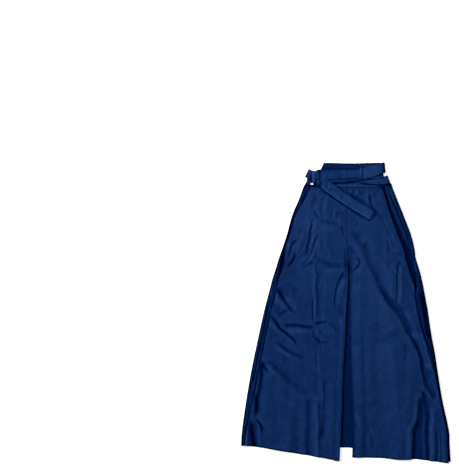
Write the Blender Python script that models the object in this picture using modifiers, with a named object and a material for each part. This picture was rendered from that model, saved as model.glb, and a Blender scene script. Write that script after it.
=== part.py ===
"""Hakama trousers laid flat, front up, with both waist ties wrapped across the front.

The cloth lies on the XY plane: +Y runs from the hems to the waist and +Z is up. The origin is
the middle of the footprint, on the surface that the trousers rest on. Left and right are as
seen from above. Every size here is in millimetres, and MM turns it into Blender's metres.
"""

import math
from typing import NamedTuple

import bmesh
import bpy
from mathutils import Vector

MM = 0.001

# Cloth and clearances
CLOTH = 1.2
GAP = 0.3
SEAM_GAP = 1.3
SIDE_FOLD_RADIUS = 3.2
CREST_FOLD_RADIUS = 0.5
TURN_UNDER = 17.0

# Waist
WAIST_Y = 442.0
BAND_HEIGHT = 36.0
BAND_CLOTH = 2.2
FRONT_BAND_Z = 4.9
BAND_LEFT, BAND_RIGHT = -105.0, 133.0
BACK_BAND_LEFT = -113.5
BOARD_TOP_Y = 524.0
BOARD_CLOTH = 2.6
BOARD_TOP_LEFT, BOARD_TOP_RIGHT = -74.0, 112.0
BOARD_FLARE = 26.0

# Legs
CENTRE_X = 7.0
CROTCH_Y = 147.0
BACK_HEM_Y = -472.0
INNER_UNDER_LEFT = 28.0
INNER_UNDER_RIGHT = 30.0
INNER_LEFT_WIDTH = 48.0
EDGE_REACH = 34.0
BAND_REACH = 30.0
REST_LEVEL = 1.6
REST_BLEND = 0.5
SIDE_CALM = 10.0
INNER_CALM = 14.0
BAND_CALM = 16.0
LAYER_RAMP = 14.0
CREST_FULL_Y, CREST_NONE_Y = 180.0, 60.0

# Ties
TIE_WIDTH = 35.0
TIE_CLOTH = 2.0
LOWER_TIE_CLOTH = 1.6

NAVY = (0.012, 0.037, 0.125, 1.0)


class Section(NamedTuple):
    """One level of a leg. Widths run from the outline towards the middle of the garment."""

    y: float
    outline: float
    strip: float
    opening: float
    lift: float
    inner: float


class Fold(NamedTuple):
    """A soft ridge, or a trough where the height is negative, from a start to an end."""

    x0: float
    y0: float
    x1: float
    y1: float
    bow: float
    width: float
    height0: float
    height1: float


class Station(NamedTuple):
    """A point on a tie's middle line, the clockwise turn of its width from +Y, and the width.

    Where the point is lower than what the tie lies on, the tie rests on that instead.
    """

    x: float
    y: float
    z: float
    turn: float
    width: float


LEFT_LEG = (
    Section(437, -150.5, 20.0, 4.0, 1.0, 5.0),
    Section(395, -166.0, 16.5, 3.0, 1.0, 5.0),
    Section(343, -188.0, 9.5, 2.0, 1.0, 5.0),
    Section(273, -207.5, 6.5, 1.2, 1.5, 5.5),
    Section(220, -225.0, 6.5, 3.0, 2.0, 8.0),
    Section(192, -235.0, 8.0, 7.0, 3.0, 8.5),
    Section(164, -243.5, 10.0, 9.0, 3.5, 9.0),
    Section(143, -250.0, 12.5, 9.0, 4.0, 9.0),
    Section(115, -259.0, 17.0, 5.0, 3.5, 7.5),
    Section(87, -266.0, 22.0, SEAM_GAP, 3.0, 5.5),
    Section(10, -286.0, 21.0, SEAM_GAP, 2.5, 0.0),
    Section(-94, -309.0, 23.0, SEAM_GAP, 2.0, -3.5),
    Section(-199, -331.0, 24.0, SEAM_GAP, 2.5, -10.0),
    Section(-304, -349.0, 21.0, SEAM_GAP, 2.5, -14.0),
    Section(-409, -364.0, 12.0, SEAM_GAP, 1.5, -17.0),
    Section(-465, -367.5, 9.0, SEAM_GAP, 1.0, -20.0),
    Section(-520, -369.0, 9.0, SEAM_GAP, 1.0, -22.0),
)

RIGHT_LEG = (
    Section(437, 164.5, 19.0, 17.5, 2.0, 5.4),
    Section(395, 181.0, 21.0, 20.0, 2.5, 5.4),
    Section(343, 202.0, 27.0, 19.0, 3.0, 5.4),
    Section(273, 228.5, 25.5, 21.0, 3.0, 5.9),
    Section(220, 241.5, 19.0, 20.0, 3.0, 8.4),
    Section(192, 245.0, 17.5, 19.0, 3.0, 9.0),
    Section(143, 260.0, 20.0, 17.5, 3.0, 12.0),
    Section(98, 270.5, 22.0, 10.0, 4.0, 13.0),
    Section(66, 276.5, 33.0, SEAM_GAP, 4.5, 13.5),
    Section(10, 287.0, 35.0, SEAM_GAP, 5.0, 14.0),
    Section(-42, 294.5, 31.0, SEAM_GAP, 5.0, 14.0),
    Section(-94, 303.0, 22.0, 2.0, 4.5, 14.0),
    Section(-140, 312.0, 12.0, 2.2, 3.0, 15.0),
    Section(-206, 322.0, 6.5, 1.6, 1.0, 17.0),
    Section(-304, 338.0, 5.5, SEAM_GAP, 1.0, 21.0),
    Section(-409, 360.5, 5.5, SEAM_GAP, 1.0, 24.5),
    Section(-465, 364.0, 5.5, SEAM_GAP, 0.5, 23.0),
    Section(-525, 367.5, 5.5, SEAM_GAP, 0.5, 21.0),
)

# Height of each front hem, from the side seam to the inner edge
LEFT_HEM = (-465.0, -481.0, -499.0, -519.0)
RIGHT_HEM = (-526.0, -520.0, -513.0, -508.0)
BACK_HEM_OUTER = {-1: -466.0, 1: -522.0}

LEFT_FOLDS = (
    # Gathers below the waistband
    Fold(-108, 436, -104, 350, 3, 9, 2.4, 0.5),
    Fold(-84, 436, -90, 332, -2, 9, -2.6, -1.0),
    Fold(-62, 436, -66, 350, 2, 8, 2.2, 0.0),
    Fold(-42, 436, -46, 322, 0, 8, 2.4, 1.0),
    Fold(-22, 436, -22, 360, 0, 8, -2.0, 0.0),
    # Hip and side creases
    Fold(-108, 360, -145, 195, 6, 10, -2.6, -3.0),
    Fold(-92, 350, -122, 200, 6, 10, 2.0, 1.6),
    Fold(-242, 96, -180, 2, -6, 11, -4.2, -2.0),
    Fold(-224, 104, -150, 10, -8, 13, 2.6, 1.0),
    Fold(-268, -8, -174, -106, 5, 11, -3.6, -1.2),
    Fold(-212, -42, -86, -32, -6, 10, -2.8, -2.0),
    Fold(-290, -158, -150, -294, 6, 12, -3.4, -1.2),
    # Pressed pleats down the leg
    Fold(-112, 180, -110, -214, -4, 8, 2.6, 1.4),
    Fold(-3, 146, -40, 30, -8, 9, -2.6, -1.0),
    Fold(-301, -190, -304, -345, 0, 11, -3.4, -2.6),
    Fold(-135, -262, -135, -505, 0, 13, -1.4, -3.4),
    Fold(-98, -255, -98, -510, 0, 11, 1.2, 3.0),
    # Flutes at the hem's outer corner
    Fold(-347, -368, -346, -470, 0, 10, 0.5, 5.0),
    Fold(-335, -372, -320, -478, 0, 11, -2.0, -7.0),
    Fold(-306, -380, -298, -484, 0, 12, 1.0, 5.5),
)

RIGHT_FOLDS = (
    # Gathers below the waistband
    Fold(24, 436, 18, 372, 0, 8, -2.2, 0.0),
    Fold(38, 436, 40, 350, 0, 8, 2.4, 0.4),
    Fold(52, 436, 60, 345, 0, 8, -2.4, -0.6),
    Fold(68, 436, 76, 352, 0, 8, 2.4, 0.4),
    Fold(80, 436, 88, 368, 0, 7, -2.6, 0.0),
    Fold(106, 436, 122, 330, 0, 10, 2.2, 1.4),
    # The long fold from the hip to the outer knee, and the ridge beside it
    Fold(45, 280, 312, -288, 6, 17, -1.8, -5.0),
    Fold(84, 262, 320, -262, 4, 15, 1.4, 5.0),
    Fold(120, 338, 186, 220, 0, 9, -2.4, -1.8),
    Fold(171, 184, 173, 40, 0, 11, -4.0, -1.6),
    Fold(190, 190, 190, 30, 0, 10, 2.6, 1.0),
    # Soft lengthwise waves
    Fold(60, 120, 82, -330, 0, 24, 1.4, 1.2),
    Fold(110, -60, 118, -500, 0, 22, -1.0, -1.8),
    Fold(160, -90, 176, -510, 0, 22, 1.0, 2.2),
    # Flutes at the hem's outer corner
    Fold(236, -330, 230, -520, 0, 13, 0.5, 5.0),
    Fold(276, -262, 260, -524, 0, 19, -2.0, -9.0),
    Fold(300, -300, 300, -526, 0, 14, 1.5, 6.5),
    Fold(320, -400, 321, -528, 0, 9, -1.0, -3.5),
)

# The upper tie: round the right end, left over the band, folded back and down to its free end
UPPER_TIE = (
    Station(66, 499, 4.1, -4, 35),
    Station(112, 503, 4.1, -5, 35),
    Station(131, 506.5, 4.3, -6, 34),
    Station(136.5, 507.3, 5.6, -6, 33),
    Station(131, 507, 7.0, -6, 34),
    Station(98, 502, 7.9, -4, 35),
    Station(63, 494, 10.2, 0, 35),
    Station(21, 486, 11.5, 0, 35),
    Station(-28, 482, 11.5, 0, 34),
    Station(-66, 477, 11.5, 6, 37),
    Station(-86, 471, 11.7, 15, 41),
    Station(-93, 467.5, 13.1, 18, 42),
    Station(-85, 461.5, 14.5, 24, 41),
    Station(-63, 442.5, 14.1, 31, 38),
    Station(-28, 415.5, 10.6, 32.3, 36.5),
    Station(14, 388.0, 7.0, 32.3, 36),
    Station(56, 361.3, 5.0, 32.3, 35),
    Station(90, 340.0, 4.0, 32.3, 34),
)

# The lower tie: from the band's right end, crumpled under the upper tie, to its end at the left
LOWER_TIE = (
    Station(82, 461, 3.6, 0, 26),
    Station(129, 463, 3.6, -6, 27),
    Station(145, 466.5, 4.0, -16, 30),
    Station(150.5, 465.5, 5.9, -20, 38),
    Station(145, 466.5, 7.9, -16, 31),
    Station(129, 462.5, 8.4, -5, 25),
    Station(91, 460, 8.4, 0, 21),
    Station(48, 458.5, 8.4, 0, 19),
    Station(-14, 462, 8.4, 0, 24),
    Station(-63, 470.5, 8.4, 8, 31),
    Station(-88, 479.5, 8.3, 8, 33),
    Station(-104, 480, 7.9, 11, 31),
    Station(-120, 480.5, 7.6, 22, 30),
    Station(-136.5, 489.5, 7.0, 27, 31),
)
PUCKERS = 3
PUCKER_HEIGHT = 0.9

TIE_ROOT = (-145.5, -126.7)
TIE_ROOT_TOP_Y = 480.0
TIE_ROOT_CLOTH = 1.5


class Loop(NamedTuple):
    """A narrow cloth loop round a tie: where it stands along X, and its span in Y and Z."""

    x: float
    width: float
    low_y: float
    high_y: float
    low_z: float
    high_z: float
    cloth: float


BELT_LOOP = Loop(49.5, 7.0, 470.2, 511.6, 8.3, 13.7, 0.9)
END_KEEPER = Loop(-114.0, 15.0, 453.0, 499.5, 4.6, 10.8, 1.1)


# Shared shapes


def clamp(value):
    return max(0.0, min(1.0, value))


def ease(value):
    """0 before 0, 1 after 1, and smooth in between."""
    t = clamp(value)
    return t * t * (3 - 2 * t)


def level_at(sections, y):
    """The leg's section at height y, on smooth curves through the table's rows."""
    last = len(sections) - 2
    k = next((n for n in range(last + 1) if y > sections[n + 1].y), last)
    a, b = sections[k], sections[k + 1]
    before, after = sections[max(k - 1, 0)], sections[min(k + 2, last + 1)]
    t = clamp((y - a.y) / (b.y - a.y))
    span = b.y - a.y
    values = []
    for c in range(1, len(a)):
        slope_a = (b[c] - before[c]) / (b.y - before.y) * span
        slope_b = (after[c] - a[c]) / (after.y - a.y) * span
        values.append(
            (2 * t**3 - 3 * t**2 + 1) * a[c]
            + (t**3 - 2 * t**2 + t) * slope_a
            + (3 * t**2 - 2 * t**3) * b[c]
            + (t**3 - t**2) * slope_b
        )
    return Section(y, *values)


def along(values, t):
    """A list of evenly spaced values, read at t from 0 to 1."""
    place = clamp(t) * (len(values) - 1)
    k = min(int(place), len(values) - 2)
    return values[k] + (values[k + 1] - values[k]) * (place - k)


def fold_height(fold, x, y):
    """How far one fold raises the cloth at a point."""
    dx, dy = fold.x1 - fold.x0, fold.y1 - fold.y0
    length = math.hypot(dx, dy)
    t = ((x - fold.x0) * dx + (y - fold.y0) * dy) / length**2
    if not -0.1 < t < 1.1:
        return 0.0
    side = ((x - fold.x0) * dy - (y - fold.y0) * dx) / length
    side -= 4 * fold.bow * clamp(t) * (1 - clamp(t))
    ends = ease((t + 0.1) / 0.2) * ease((1.1 - t) / 0.2)
    height = fold.height0 + (fold.height1 - fold.height0) * clamp(t)
    return height * ends * math.exp(-((side / fold.width) ** 2))


def make_material(name, roughness=0.75):
    material = bpy.data.materials.new(name)
    material.use_nodes = True
    shader = material.node_tree.nodes["Principled BSDF"]
    shader.inputs["Base Color"].default_value = NAVY
    shader.inputs["Roughness"].default_value = roughness
    shader.inputs["Metallic"].default_value = 0.0
    material.diffuse_color = NAVY
    return material


def place(name, data, collection):
    made = bpy.data.objects.new(name, data)
    collection.objects.link(made)
    made.data.materials.append(make_material(name))
    return made


def cloth_sheet(name, columns, rows, point, cloth, offset, even, collection):
    """A grid of cloth. point(i, j) places column i of row j, and offset 1 thickens it upwards."""
    shape = bmesh.new()
    bmesh.ops.create_grid(shape, x_segments=columns, y_segments=rows, size=0.5)
    for vertex in shape.verts:
        i = round((vertex.co.x + 0.5) * columns)
        j = round((vertex.co.y + 0.5) * rows)
        vertex.co = Vector(point(i, j)) * MM
    mesh = bpy.data.meshes.new(name)
    shape.to_mesh(mesh)
    shape.free()
    mesh.shade_smooth()
    made = place(name, mesh, collection)
    wall = made.modifiers.new("wall", "SOLIDIFY")
    wall.thickness = cloth * MM
    wall.offset = offset
    wall.use_even_offset = even
    return made


def flat_piece(name, outlines, low_z, cloth, collection):
    """A flat piece cut from closed outlines, where an outline inside another is a hole."""
    curve = bpy.data.curves.new(name, "CURVE")
    curve.dimensions = "2D"
    curve.fill_mode = "BOTH"
    curve.extrude = cloth / 2 * MM
    for outline in outlines:
        spline = curve.splines.new("POLY")
        spline.points.add(len(outline) - 1)
        for point, (x, y) in zip(spline.points, outline):
            point.co = (x * MM, y * MM, 0, 1)
        spline.use_cyclic_u = True
    made = place(name, curve, collection)
    made.location.z = (low_z + cloth / 2) * MM
    return made


def rounded_box(low_x, high_x, low_y, high_y, radius, steps=3):
    """The corner points of a rectangle with round corners, anticlockwise."""
    corners = (
        (high_x - radius, high_y - radius, 0),
        (low_x + radius, high_y - radius, 90),
        (low_x + radius, low_y + radius, 180),
        (high_x - radius, low_y + radius, 270),
    )
    points = []
    for x, y, start in corners:
        for k in range(steps + 1):
            angle = math.radians(start + 90 * k / steps)
            points.append((x + radius * math.cos(angle), y + radius * math.sin(angle)))
    return points


# Legs


def support(x, y):
    """What the front panels lie on: the back panels, and the inner panels where those reach."""
    left, right = level_at(LEFT_LEG, y), level_at(RIGHT_LEG, y)
    low = left.inner - INNER_UNDER_LEFT - INNER_LEFT_WIDTH - LAYER_RAMP
    high = right.inner + INNER_UNDER_RIGHT + LAYER_RAMP
    over = ease((x - low) / LAYER_RAMP) * ease((high - x) / LAYER_RAMP)
    over *= ease((CROTCH_Y + LAYER_RAMP - y) / LAYER_RAMP)
    return CLOTH + GAP + (CLOTH + GAP) * over


def side_edge_z(section):
    """The underside of a front panel at its side seam, level with the back panel's strip."""
    return 2 * SIDE_FOLD_RADIUS - CLOTH + section.lift


def inner_edge_z(side, y):
    """The underside of a front panel at its inner edge."""
    laid = 2 * (CLOTH + GAP)
    crest = laid + CLOTH + 2 * CREST_FOLD_RADIUS + GAP
    if side < 0:
        return crest
    return laid + (crest - laid) * ease((y - CREST_NONE_Y) / (CREST_FULL_Y - CREST_NONE_Y))


def front_height(side, folds, x, y, section, outer_x, inner_x):
    """The underside of a front panel at a point."""
    base = support(x, y)
    rest = base + REST_LEVEL
    from_outer, from_inner, from_top = abs(x - outer_x), abs(x - inner_x), WAIST_Y - y
    free = 1 - math.exp(-((from_outer / SIDE_CALM) ** 2))
    free *= 1 - math.exp(-((from_inner / INNER_CALM) ** 2))
    free *= ease(from_top / BAND_CALM)
    folds_z = free * sum(fold_height(fold, x, y) for fold in folds)
    z = rest + folds_z
    z += (side_edge_z(section) - rest) * math.exp(-((from_outer / EDGE_REACH) ** 2))
    z += (inner_edge_z(side, y) - rest) * math.exp(-((from_inner / EDGE_REACH) ** 2))
    z += (FRONT_BAND_Z - z) * math.exp(-((from_top / BAND_REACH) ** 2))
    above = z - base
    return base + 0.5 * (above + math.sqrt(above**2 + REST_BLEND))


def front_panel(name, side, sections, folds, hem, columns, rows, collection):
    """One front leg panel. The left one's inner edge is a pressed crest, turned under."""
    crest_steps = 4 if side < 0 else 0
    crest_room = CREST_FOLD_RADIUS + CLOTH if side < 0 else 0.0
    turned = crest_steps + 1 if side < 0 else 0

    def point(i, j):
        main = min(i, columns)
        u, v = main / columns, 1 - j / rows
        y = WAIST_Y - GAP + (along(hem, u) - WAIST_Y + GAP) * v
        section = level_at(sections, y)
        opening = max(section.opening, SEAM_GAP)
        outer_x = section.outline - side * (section.strip + opening)
        inner_x = section.inner - crest_room
        x = outer_x + (inner_x - outer_x) * u
        z = front_height(side, folds, x, y, section, outer_x, inner_x)
        if i > columns + crest_steps:
            return x - TURN_UNDER, y, z - 2 * CREST_FOLD_RADIUS
        if i > columns:
            angle = math.pi * (i - columns) / crest_steps
            x += CREST_FOLD_RADIUS * math.sin(angle)
            z -= CREST_FOLD_RADIUS * (1 - math.cos(angle))
        return x, y, z

    def mirrored(i, j):
        return point(columns + turned - i, j)

    # Columns run towards +X, so that the cloth thickens upwards
    ordered = point if side < 0 else mirrored
    return cloth_sheet(name, columns + turned, rows, ordered, CLOTH, 1, True, collection)


def back_panel(name, side, sections, rows, collection):
    """One back leg panel: flat on the surface, and turned over its front along the side."""
    flat, curl, strip = 6, 6, 3

    def point(i, j):
        u, v = min(i, flat) / flat, 1 - j / rows
        hem = BACK_HEM_Y + (BACK_HEM_OUTER[side] - BACK_HEM_Y) * u
        y = WAIST_Y - GAP + (hem - WAIST_Y + GAP) * v
        section = level_at(sections, y)
        inner_x = CENTRE_X + side * GAP / 2
        turn_x = section.outline - side * SIDE_FOLD_RADIUS
        if i <= flat:
            return inner_x + (turn_x - inner_x) * u, y, 0.0
        if i <= flat + curl:
            angle = math.pi * (i - flat) / curl
            rise = SIDE_FOLD_RADIUS * (1 - math.cos(angle))
            return turn_x + side * SIDE_FOLD_RADIUS * math.sin(angle), y, rise
        share = (i - flat - curl) / strip
        edge_x = section.outline - side * section.strip
        rise = 2 * SIDE_FOLD_RADIUS + section.lift * ease(share)
        return turn_x + (edge_x - turn_x) * share, y, rise

    total = flat + curl + strip

    def mirrored(i, j):
        return point(total - i, j)

    ordered = point if side > 0 else mirrored
    return cloth_sheet(name, total, rows, ordered, CLOTH, 1, True, collection)


def inner_panel(name, low_edge, high_edge, columns, rows, collection):
    """An inner leg panel, between front and back. The edges are functions of the height."""

    def point(i, j):
        y = BACK_HEM_Y + (CROTCH_Y - BACK_HEM_Y) * j / rows
        low, high = low_edge(y), high_edge(y)
        return low + (high - low) * i / columns, y, CLOTH + GAP

    return cloth_sheet(name, columns, rows, point, CLOTH, 1, True, collection)


def make_legs(collection):
    def hidden_seam(y):
        return level_at(LEFT_LEG, y).inner - INNER_UNDER_LEFT

    front_panel("front_left", -1, LEFT_LEG, LEFT_FOLDS, LEFT_HEM, 20, 42, collection)
    front_panel("front_right", 1, RIGHT_LEG, RIGHT_FOLDS, RIGHT_HEM, 22, 42, collection)
    back_panel("back_left", -1, LEFT_LEG, 26, collection)
    back_panel("back_right", 1, RIGHT_LEG, 26, collection)
    inner_panel(
        "inner_left",
        lambda y: hidden_seam(y) - INNER_LEFT_WIDTH,
        lambda y: hidden_seam(y) - GAP,
        2,
        14,
        collection,
    )
    inner_panel(
        "inner_right",
        hidden_seam,
        lambda y: level_at(RIGHT_LEG, y).inner + INNER_UNDER_RIGHT,
        3,
        14,
        collection,
    )


# Waist


def make_bands(collection):
    top_y = WAIST_Y + BAND_HEIGHT
    front = rounded_box(BAND_LEFT, BAND_RIGHT, WAIST_Y, top_y, 1.5)
    back = rounded_box(BACK_BAND_LEFT, BAND_RIGHT, WAIST_Y, top_y, 1.5)
    flat_piece("waistband_front", [front], FRONT_BAND_Z, BAND_CLOTH, collection)
    flat_piece("waistband_back", [back], 0.0, BAND_CLOTH, collection)
    board_low = top_y + GAP
    board = (
        (BOARD_TOP_LEFT, BOARD_TOP_Y),
        (BOARD_TOP_LEFT - BOARD_FLARE, board_low),
        (BOARD_TOP_RIGHT + BOARD_FLARE * 0.8, board_low),
        (BOARD_TOP_RIGHT, BOARD_TOP_Y),
    )
    flat_piece("back_board", [board], 0.0, BOARD_CLOTH, collection)
    root = rounded_box(*TIE_ROOT, WAIST_Y, TIE_ROOT_TOP_Y, 2.0)
    flat_piece("tie_root_left", [root], 0.0, TIE_ROOT_CLOTH, collection)


# Ties


def tie_path(stations, per_span):
    """The stations of a tie with evenly many more between them, on a smooth curve."""
    made = []
    last = len(stations) - 1
    for k in range(last):
        p0, p1 = stations[max(k - 1, 0)], stations[k]
        p2, p3 = stations[k + 1], stations[min(k + 2, last)]
        for step in range(per_span):
            t = step / per_span
            made.append(
                Station(
                    *(
                        0.5
                        * (
                            2 * b
                            + (c - a) * t
                            + (2 * a - 5 * b + 4 * c - d) * t**2
                            + (3 * b - a - 3 * c + d) * t**3
                        )
                        for a, b, c, d in zip(p0, p1, p2, p3)
                    )
                )
            )
    return [*made, stations[last]]


def panel_top(x, y):
    """The upper side of whichever front panel is at a point."""
    left, right = level_at(LEFT_LEG, y), level_at(RIGHT_LEG, y)
    if x < left.inner:
        outer_x = left.outline + left.strip + left.opening
        return CLOTH + front_height(-1, LEFT_FOLDS, x, y, left, outer_x, left.inner)
    outer_x = right.outline - right.strip - right.opening
    return CLOTH + front_height(1, RIGHT_FOLDS, x, y, right, outer_x, right.inner)


def resting_height(at, cloth):
    """The middle of a tie that lies on the front panels at a station."""
    turn = math.radians(at.turn)
    highest = 0.0
    for across in (-0.5, -0.25, 0, 0.25, 0.5):
        for ahead in (-8, 0, 8):
            x = at.x + at.width * across * math.sin(turn) + ahead * math.cos(turn)
            y = at.y + at.width * across * math.cos(turn) - ahead * math.sin(turn)
            highest = max(highest, panel_top(x, min(y, WAIST_Y)))
    return highest + GAP + cloth / 2


def tie(name, stations, per_span, columns, cloth, pucker, collection):
    """A strap of cloth along its stations. pucker(i, j) lifts it into lengthwise wrinkles."""
    path = tie_path(stations, per_span)
    heights = [
        at.z if at.y > WAIST_Y else max(at.z, resting_height(at, cloth)) for at in path
    ]

    def point(i, j):
        at = path[j]
        turn = math.radians(at.turn)
        across = (i / columns - 0.5) * at.width
        x = at.x + across * math.sin(turn)
        y = at.y + across * math.cos(turn)
        return x, y, heights[j] + pucker(i / columns, j / (len(path) - 1))

    return cloth_sheet(name, columns, len(path) - 1, point, cloth, 0, False, collection)


def lower_tie_pucker(across, share):
    """Lengthwise wrinkles where the lower tie is crushed, and none at its fold and its end."""
    crushed = ease((share - 0.42) / 0.08) * ease((0.78 - share) / 0.1)
    return crushed * PUCKER_HEIGHT * 0.5 * (1 - math.cos(2 * math.pi * PUCKERS * across))


def flat_tie(across, share):
    return 0.0


def cloth_loop(name, loop, collection):
    """A loop that stands across a tie: a ring cut from a flat piece, turned upright."""
    outer = rounded_box(loop.low_y, loop.high_y, loop.low_z, loop.high_z, 2.2)
    c = loop.cloth
    inner = rounded_box(
        loop.low_y + c, loop.high_y - c, loop.low_z + c, loop.high_z - c, 2.2 - c
    )
    made = flat_piece(name, [outer, inner], -loop.width / 2, loop.width, collection)
    # The piece's own X and Y become the garment's Y and Z
    made.rotation_euler = (math.pi / 2, 0, math.pi / 2)
    made.location = (loop.x * MM, 0, 0)
    return made


def make_ties(collection):
    tie("tie_upper", UPPER_TIE, 2, 4, TIE_CLOTH, flat_tie, collection)
    tie("tie_lower", LOWER_TIE, 2, 12, LOWER_TIE_CLOTH, lower_tie_pucker, collection)
    cloth_loop("belt_loop", BELT_LOOP, collection)
    cloth_loop("end_keeper", END_KEEPER, collection)


def main():
    for old in list(bpy.data.objects):
        bpy.data.objects.remove(old)
    hakama = bpy.data.collections.new("hakama")
    bpy.context.scene.collection.children.link(hakama)
    make_legs(hakama)
    make_bands(hakama)
    make_ties(hakama)


main()
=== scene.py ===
"""The looks of a pair of navy hakama trousers laid flat, front up, with their ties wrapped.

Sizes are in millimetres in the frame of the CAD part: +Y towards the waist, +X to the right as
seen from above, +Z up off the floor. MM turns them into Blender's metres. Left and right are as
seen from above, and -1 stands for the left side and 1 for the right one.
"""

import math

import bmesh
import bpy
import numpy as np
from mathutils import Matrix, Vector


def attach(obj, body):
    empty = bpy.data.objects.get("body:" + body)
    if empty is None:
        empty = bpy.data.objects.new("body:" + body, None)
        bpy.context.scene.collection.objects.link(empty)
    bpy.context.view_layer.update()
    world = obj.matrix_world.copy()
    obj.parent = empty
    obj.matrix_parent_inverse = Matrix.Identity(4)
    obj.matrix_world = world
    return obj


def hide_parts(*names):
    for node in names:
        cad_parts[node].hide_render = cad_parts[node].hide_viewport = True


MM = 0.001

# The photograph's view: straight down, from above its own middle
CAMERA_X, CAMERA_Y = -0.408, 0.280
CAMERA_HEIGHT = 3.86
LENS, SENSOR = 85.0, 36.0
FLOOR_REACH, FLOOR_Z = 25.0, -0.0004

# Walls of cloth: a leg panel, the bands, the board, the left tie's start and the two long ties
CLOTH = 1.0
BAND_WALL, BOARD_WALL, ROOT_WALL = 1.8, 2.6, 1.4
UPPER_WALL, LOWER_WALL = 1.8, 1.2
GAP = 0.3
# Height of the lowest layer over the floor
LAYER = 1.5

# Leg panels
SIDE_RADIUS = 3.2
CREST_RADIUS = 0.6
CENTRE_X = 7.0
SEAM_GAP = 0.02
WAIST_Y = 442.0
CROTCH_Y = 147.0
# Where the side slits end
SLIT_Y = 90.0
BACK_HEM_Y = -472.0
HEM_DEPTH = 35.0
LEAST_OPENING = 1.3
EDGE_DEPTH = 1.3
REST_LEVEL = 4.2
EDGE_REACH = 26.0
# Inner panels: how far left of the left front panel's edge they meet, how far left of that the
# left one ends, how far right of the right front panel's edge the right one ends, and how far
# beyond them the front panels ride up over them
INNER_SEAM, INNER_LEFT, INNER_RIGHT, INNER_MARGIN = 28.0, 48.0, 30.0, 16.0

# Creases: how deep they are, where sharp ones end, and how they run out to the smoothed side
FOLD_DEPTH = 2.1
SHARP_BELOW = 5.5
SMOOTHED_X, SMOOTHED_Y = 0.86, -0.51
RUN_OUT = 1.3
# How wide a crease's painted shade or highlight reaches, as a share of its width, and how strongly
# narrow and wide hollows are painted darker and rises paler
CREASE_SHADE_SHARE = 0.8
NARROW_TONE, WIDE_TONE = 0.48, 0.12

# Waist
FRONT_BAND_Z = 4.9
BAND_LEFT, BAND_RIGHT = -105.0, 133.0
BACK_BAND_LEFT = -115.0
BAND_TOP = WAIST_Y + 36.0
BAND_END = {-1: 115.0, 1: 133.0}
TOP_RISE = {-1: 8.0, 1: 13.0}
BOARD_TOP = 526.3

# Painted shade on the side strips, beside the slit and below it
STRIP_SHADE = {-1: (-0.36, -0.34), 1: (-0.14, -0.58)}
# How far in the painted shade along the outline reaches, and how much farther at the hips
OUTLINE_WIDTH = 5.0
HIP_OUTLINE = {-1: 4.5, 1: 3.0}

# Stitching: how far in from an edge, and the sizes of a fine stitch
SLIT_INSET, TIE_INSET = 5.0, 3.0
FINE = {"length": 2.4, "gap": 1.2, "wide": 0.7}
# Points along a tie for each of its stations
PER_STATION = 16

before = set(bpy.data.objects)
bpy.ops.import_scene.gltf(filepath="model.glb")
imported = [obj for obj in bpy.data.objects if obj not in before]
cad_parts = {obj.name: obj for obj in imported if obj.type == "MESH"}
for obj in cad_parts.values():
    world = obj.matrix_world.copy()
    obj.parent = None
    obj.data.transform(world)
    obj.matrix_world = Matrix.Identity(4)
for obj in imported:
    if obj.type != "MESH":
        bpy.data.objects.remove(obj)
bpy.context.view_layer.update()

# Each leg by height: y, the outline's x, the widths of the side strip and of the slit's opening,
# how much higher the strip's inner edge lies, and the x of the front panel's inner edge
LEFT_LEG = (
    (449, -145.5, 19, 4, 0, 5),
    (437, -150.5, 20, 4, 1, 5),
    (395, -166, 16.5, 3, 1, 5),
    (343, -188, 9.5, 2.5, 1, 5),
    (273, -207.5, 7.5, 3, 1.5, 5.5),
    (232, -221, 5.5, 3.5, 2, 7),
    (214, -227, 5.5, 7.5, 2.5, 8.2),
    (196, -233.5, 6, 13, 3, 8.5),
    (172, -241, 8.5, 15.5, 3.5, 9),
    (146, -249, 11.5, 13, 4, 9),
    (115, -259, 14.5, 6.5, 3.5, 7.5),
    (87, -266, 22, 1.3, 3, 5.5),
    (10, -286, 21, 1.3, 2.5, 0),
    (-94, -309, 23, 1.3, 2, -3.5),
    (-199, -331, 24, 1.3, 2.5, -10),
    (-304, -349, 21, 1.3, 2.5, -14),
    (-409, -364, 12, 1.3, 1.5, -17),
    (-465, -367.5, 9, 1.3, 1, -20),
    (-520, -369, 9, 1.3, 1, -22),
)
RIGHT_LEG = (
    (460, 154.5, 25, 9, 0, 5.4),
    (449, 161, 25, 9, 0, 5.4),
    (437, 164.5, 28, 8.5, 1, 5.4),
    (395, 181, 31, 10, 2.5, 5.4),
    (343, 202, 34, 12, 3, 5.4),
    (273, 228.5, 30, 16.5, 3, 5.9),
    (220, 241.5, 19, 20, 3, 8.4),
    (192, 245, 17.5, 19, 3, 9),
    (143, 260, 20, 17.5, 3, 12),
    (98, 270.5, 22, 10, 4, 13),
    (66, 276.5, 33, 1.3, 4.5, 13.5),
    (10, 287, 35, 1.3, 5, 14),
    (-42, 294.5, 31, 1.3, 5, 14),
    (-94, 303, 22, 2, 4.5, 14),
    (-140, 312, 12, 2.2, 3, 15),
    (-206, 322, 6.5, 1.6, 1, 17),
    (-304, 338, 5.5, 1.3, 1, 21),
    (-409, 360.5, 5.5, 1.3, 1, 24.5),
    (-465, 364, 5.5, 1.3, 0.5, 23),
    (-525, 367.5, 5.5, 1.3, 0.5, 21),
)
# The front hems' y, from the outer edge to the inner one
LEFT_HEM = (-465.0, -471.0, -481.0, -490.0, -499.0, -508.0, -519.0)
RIGHT_HEM = (-527.0, -520.0, -513.0, -515.0, -509.0, -508.0, -507.0)
# The hem's y at the back panels' outer corners
BACK_HEM_OUTER = {-1: -466.0, 1: -522.0}
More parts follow.
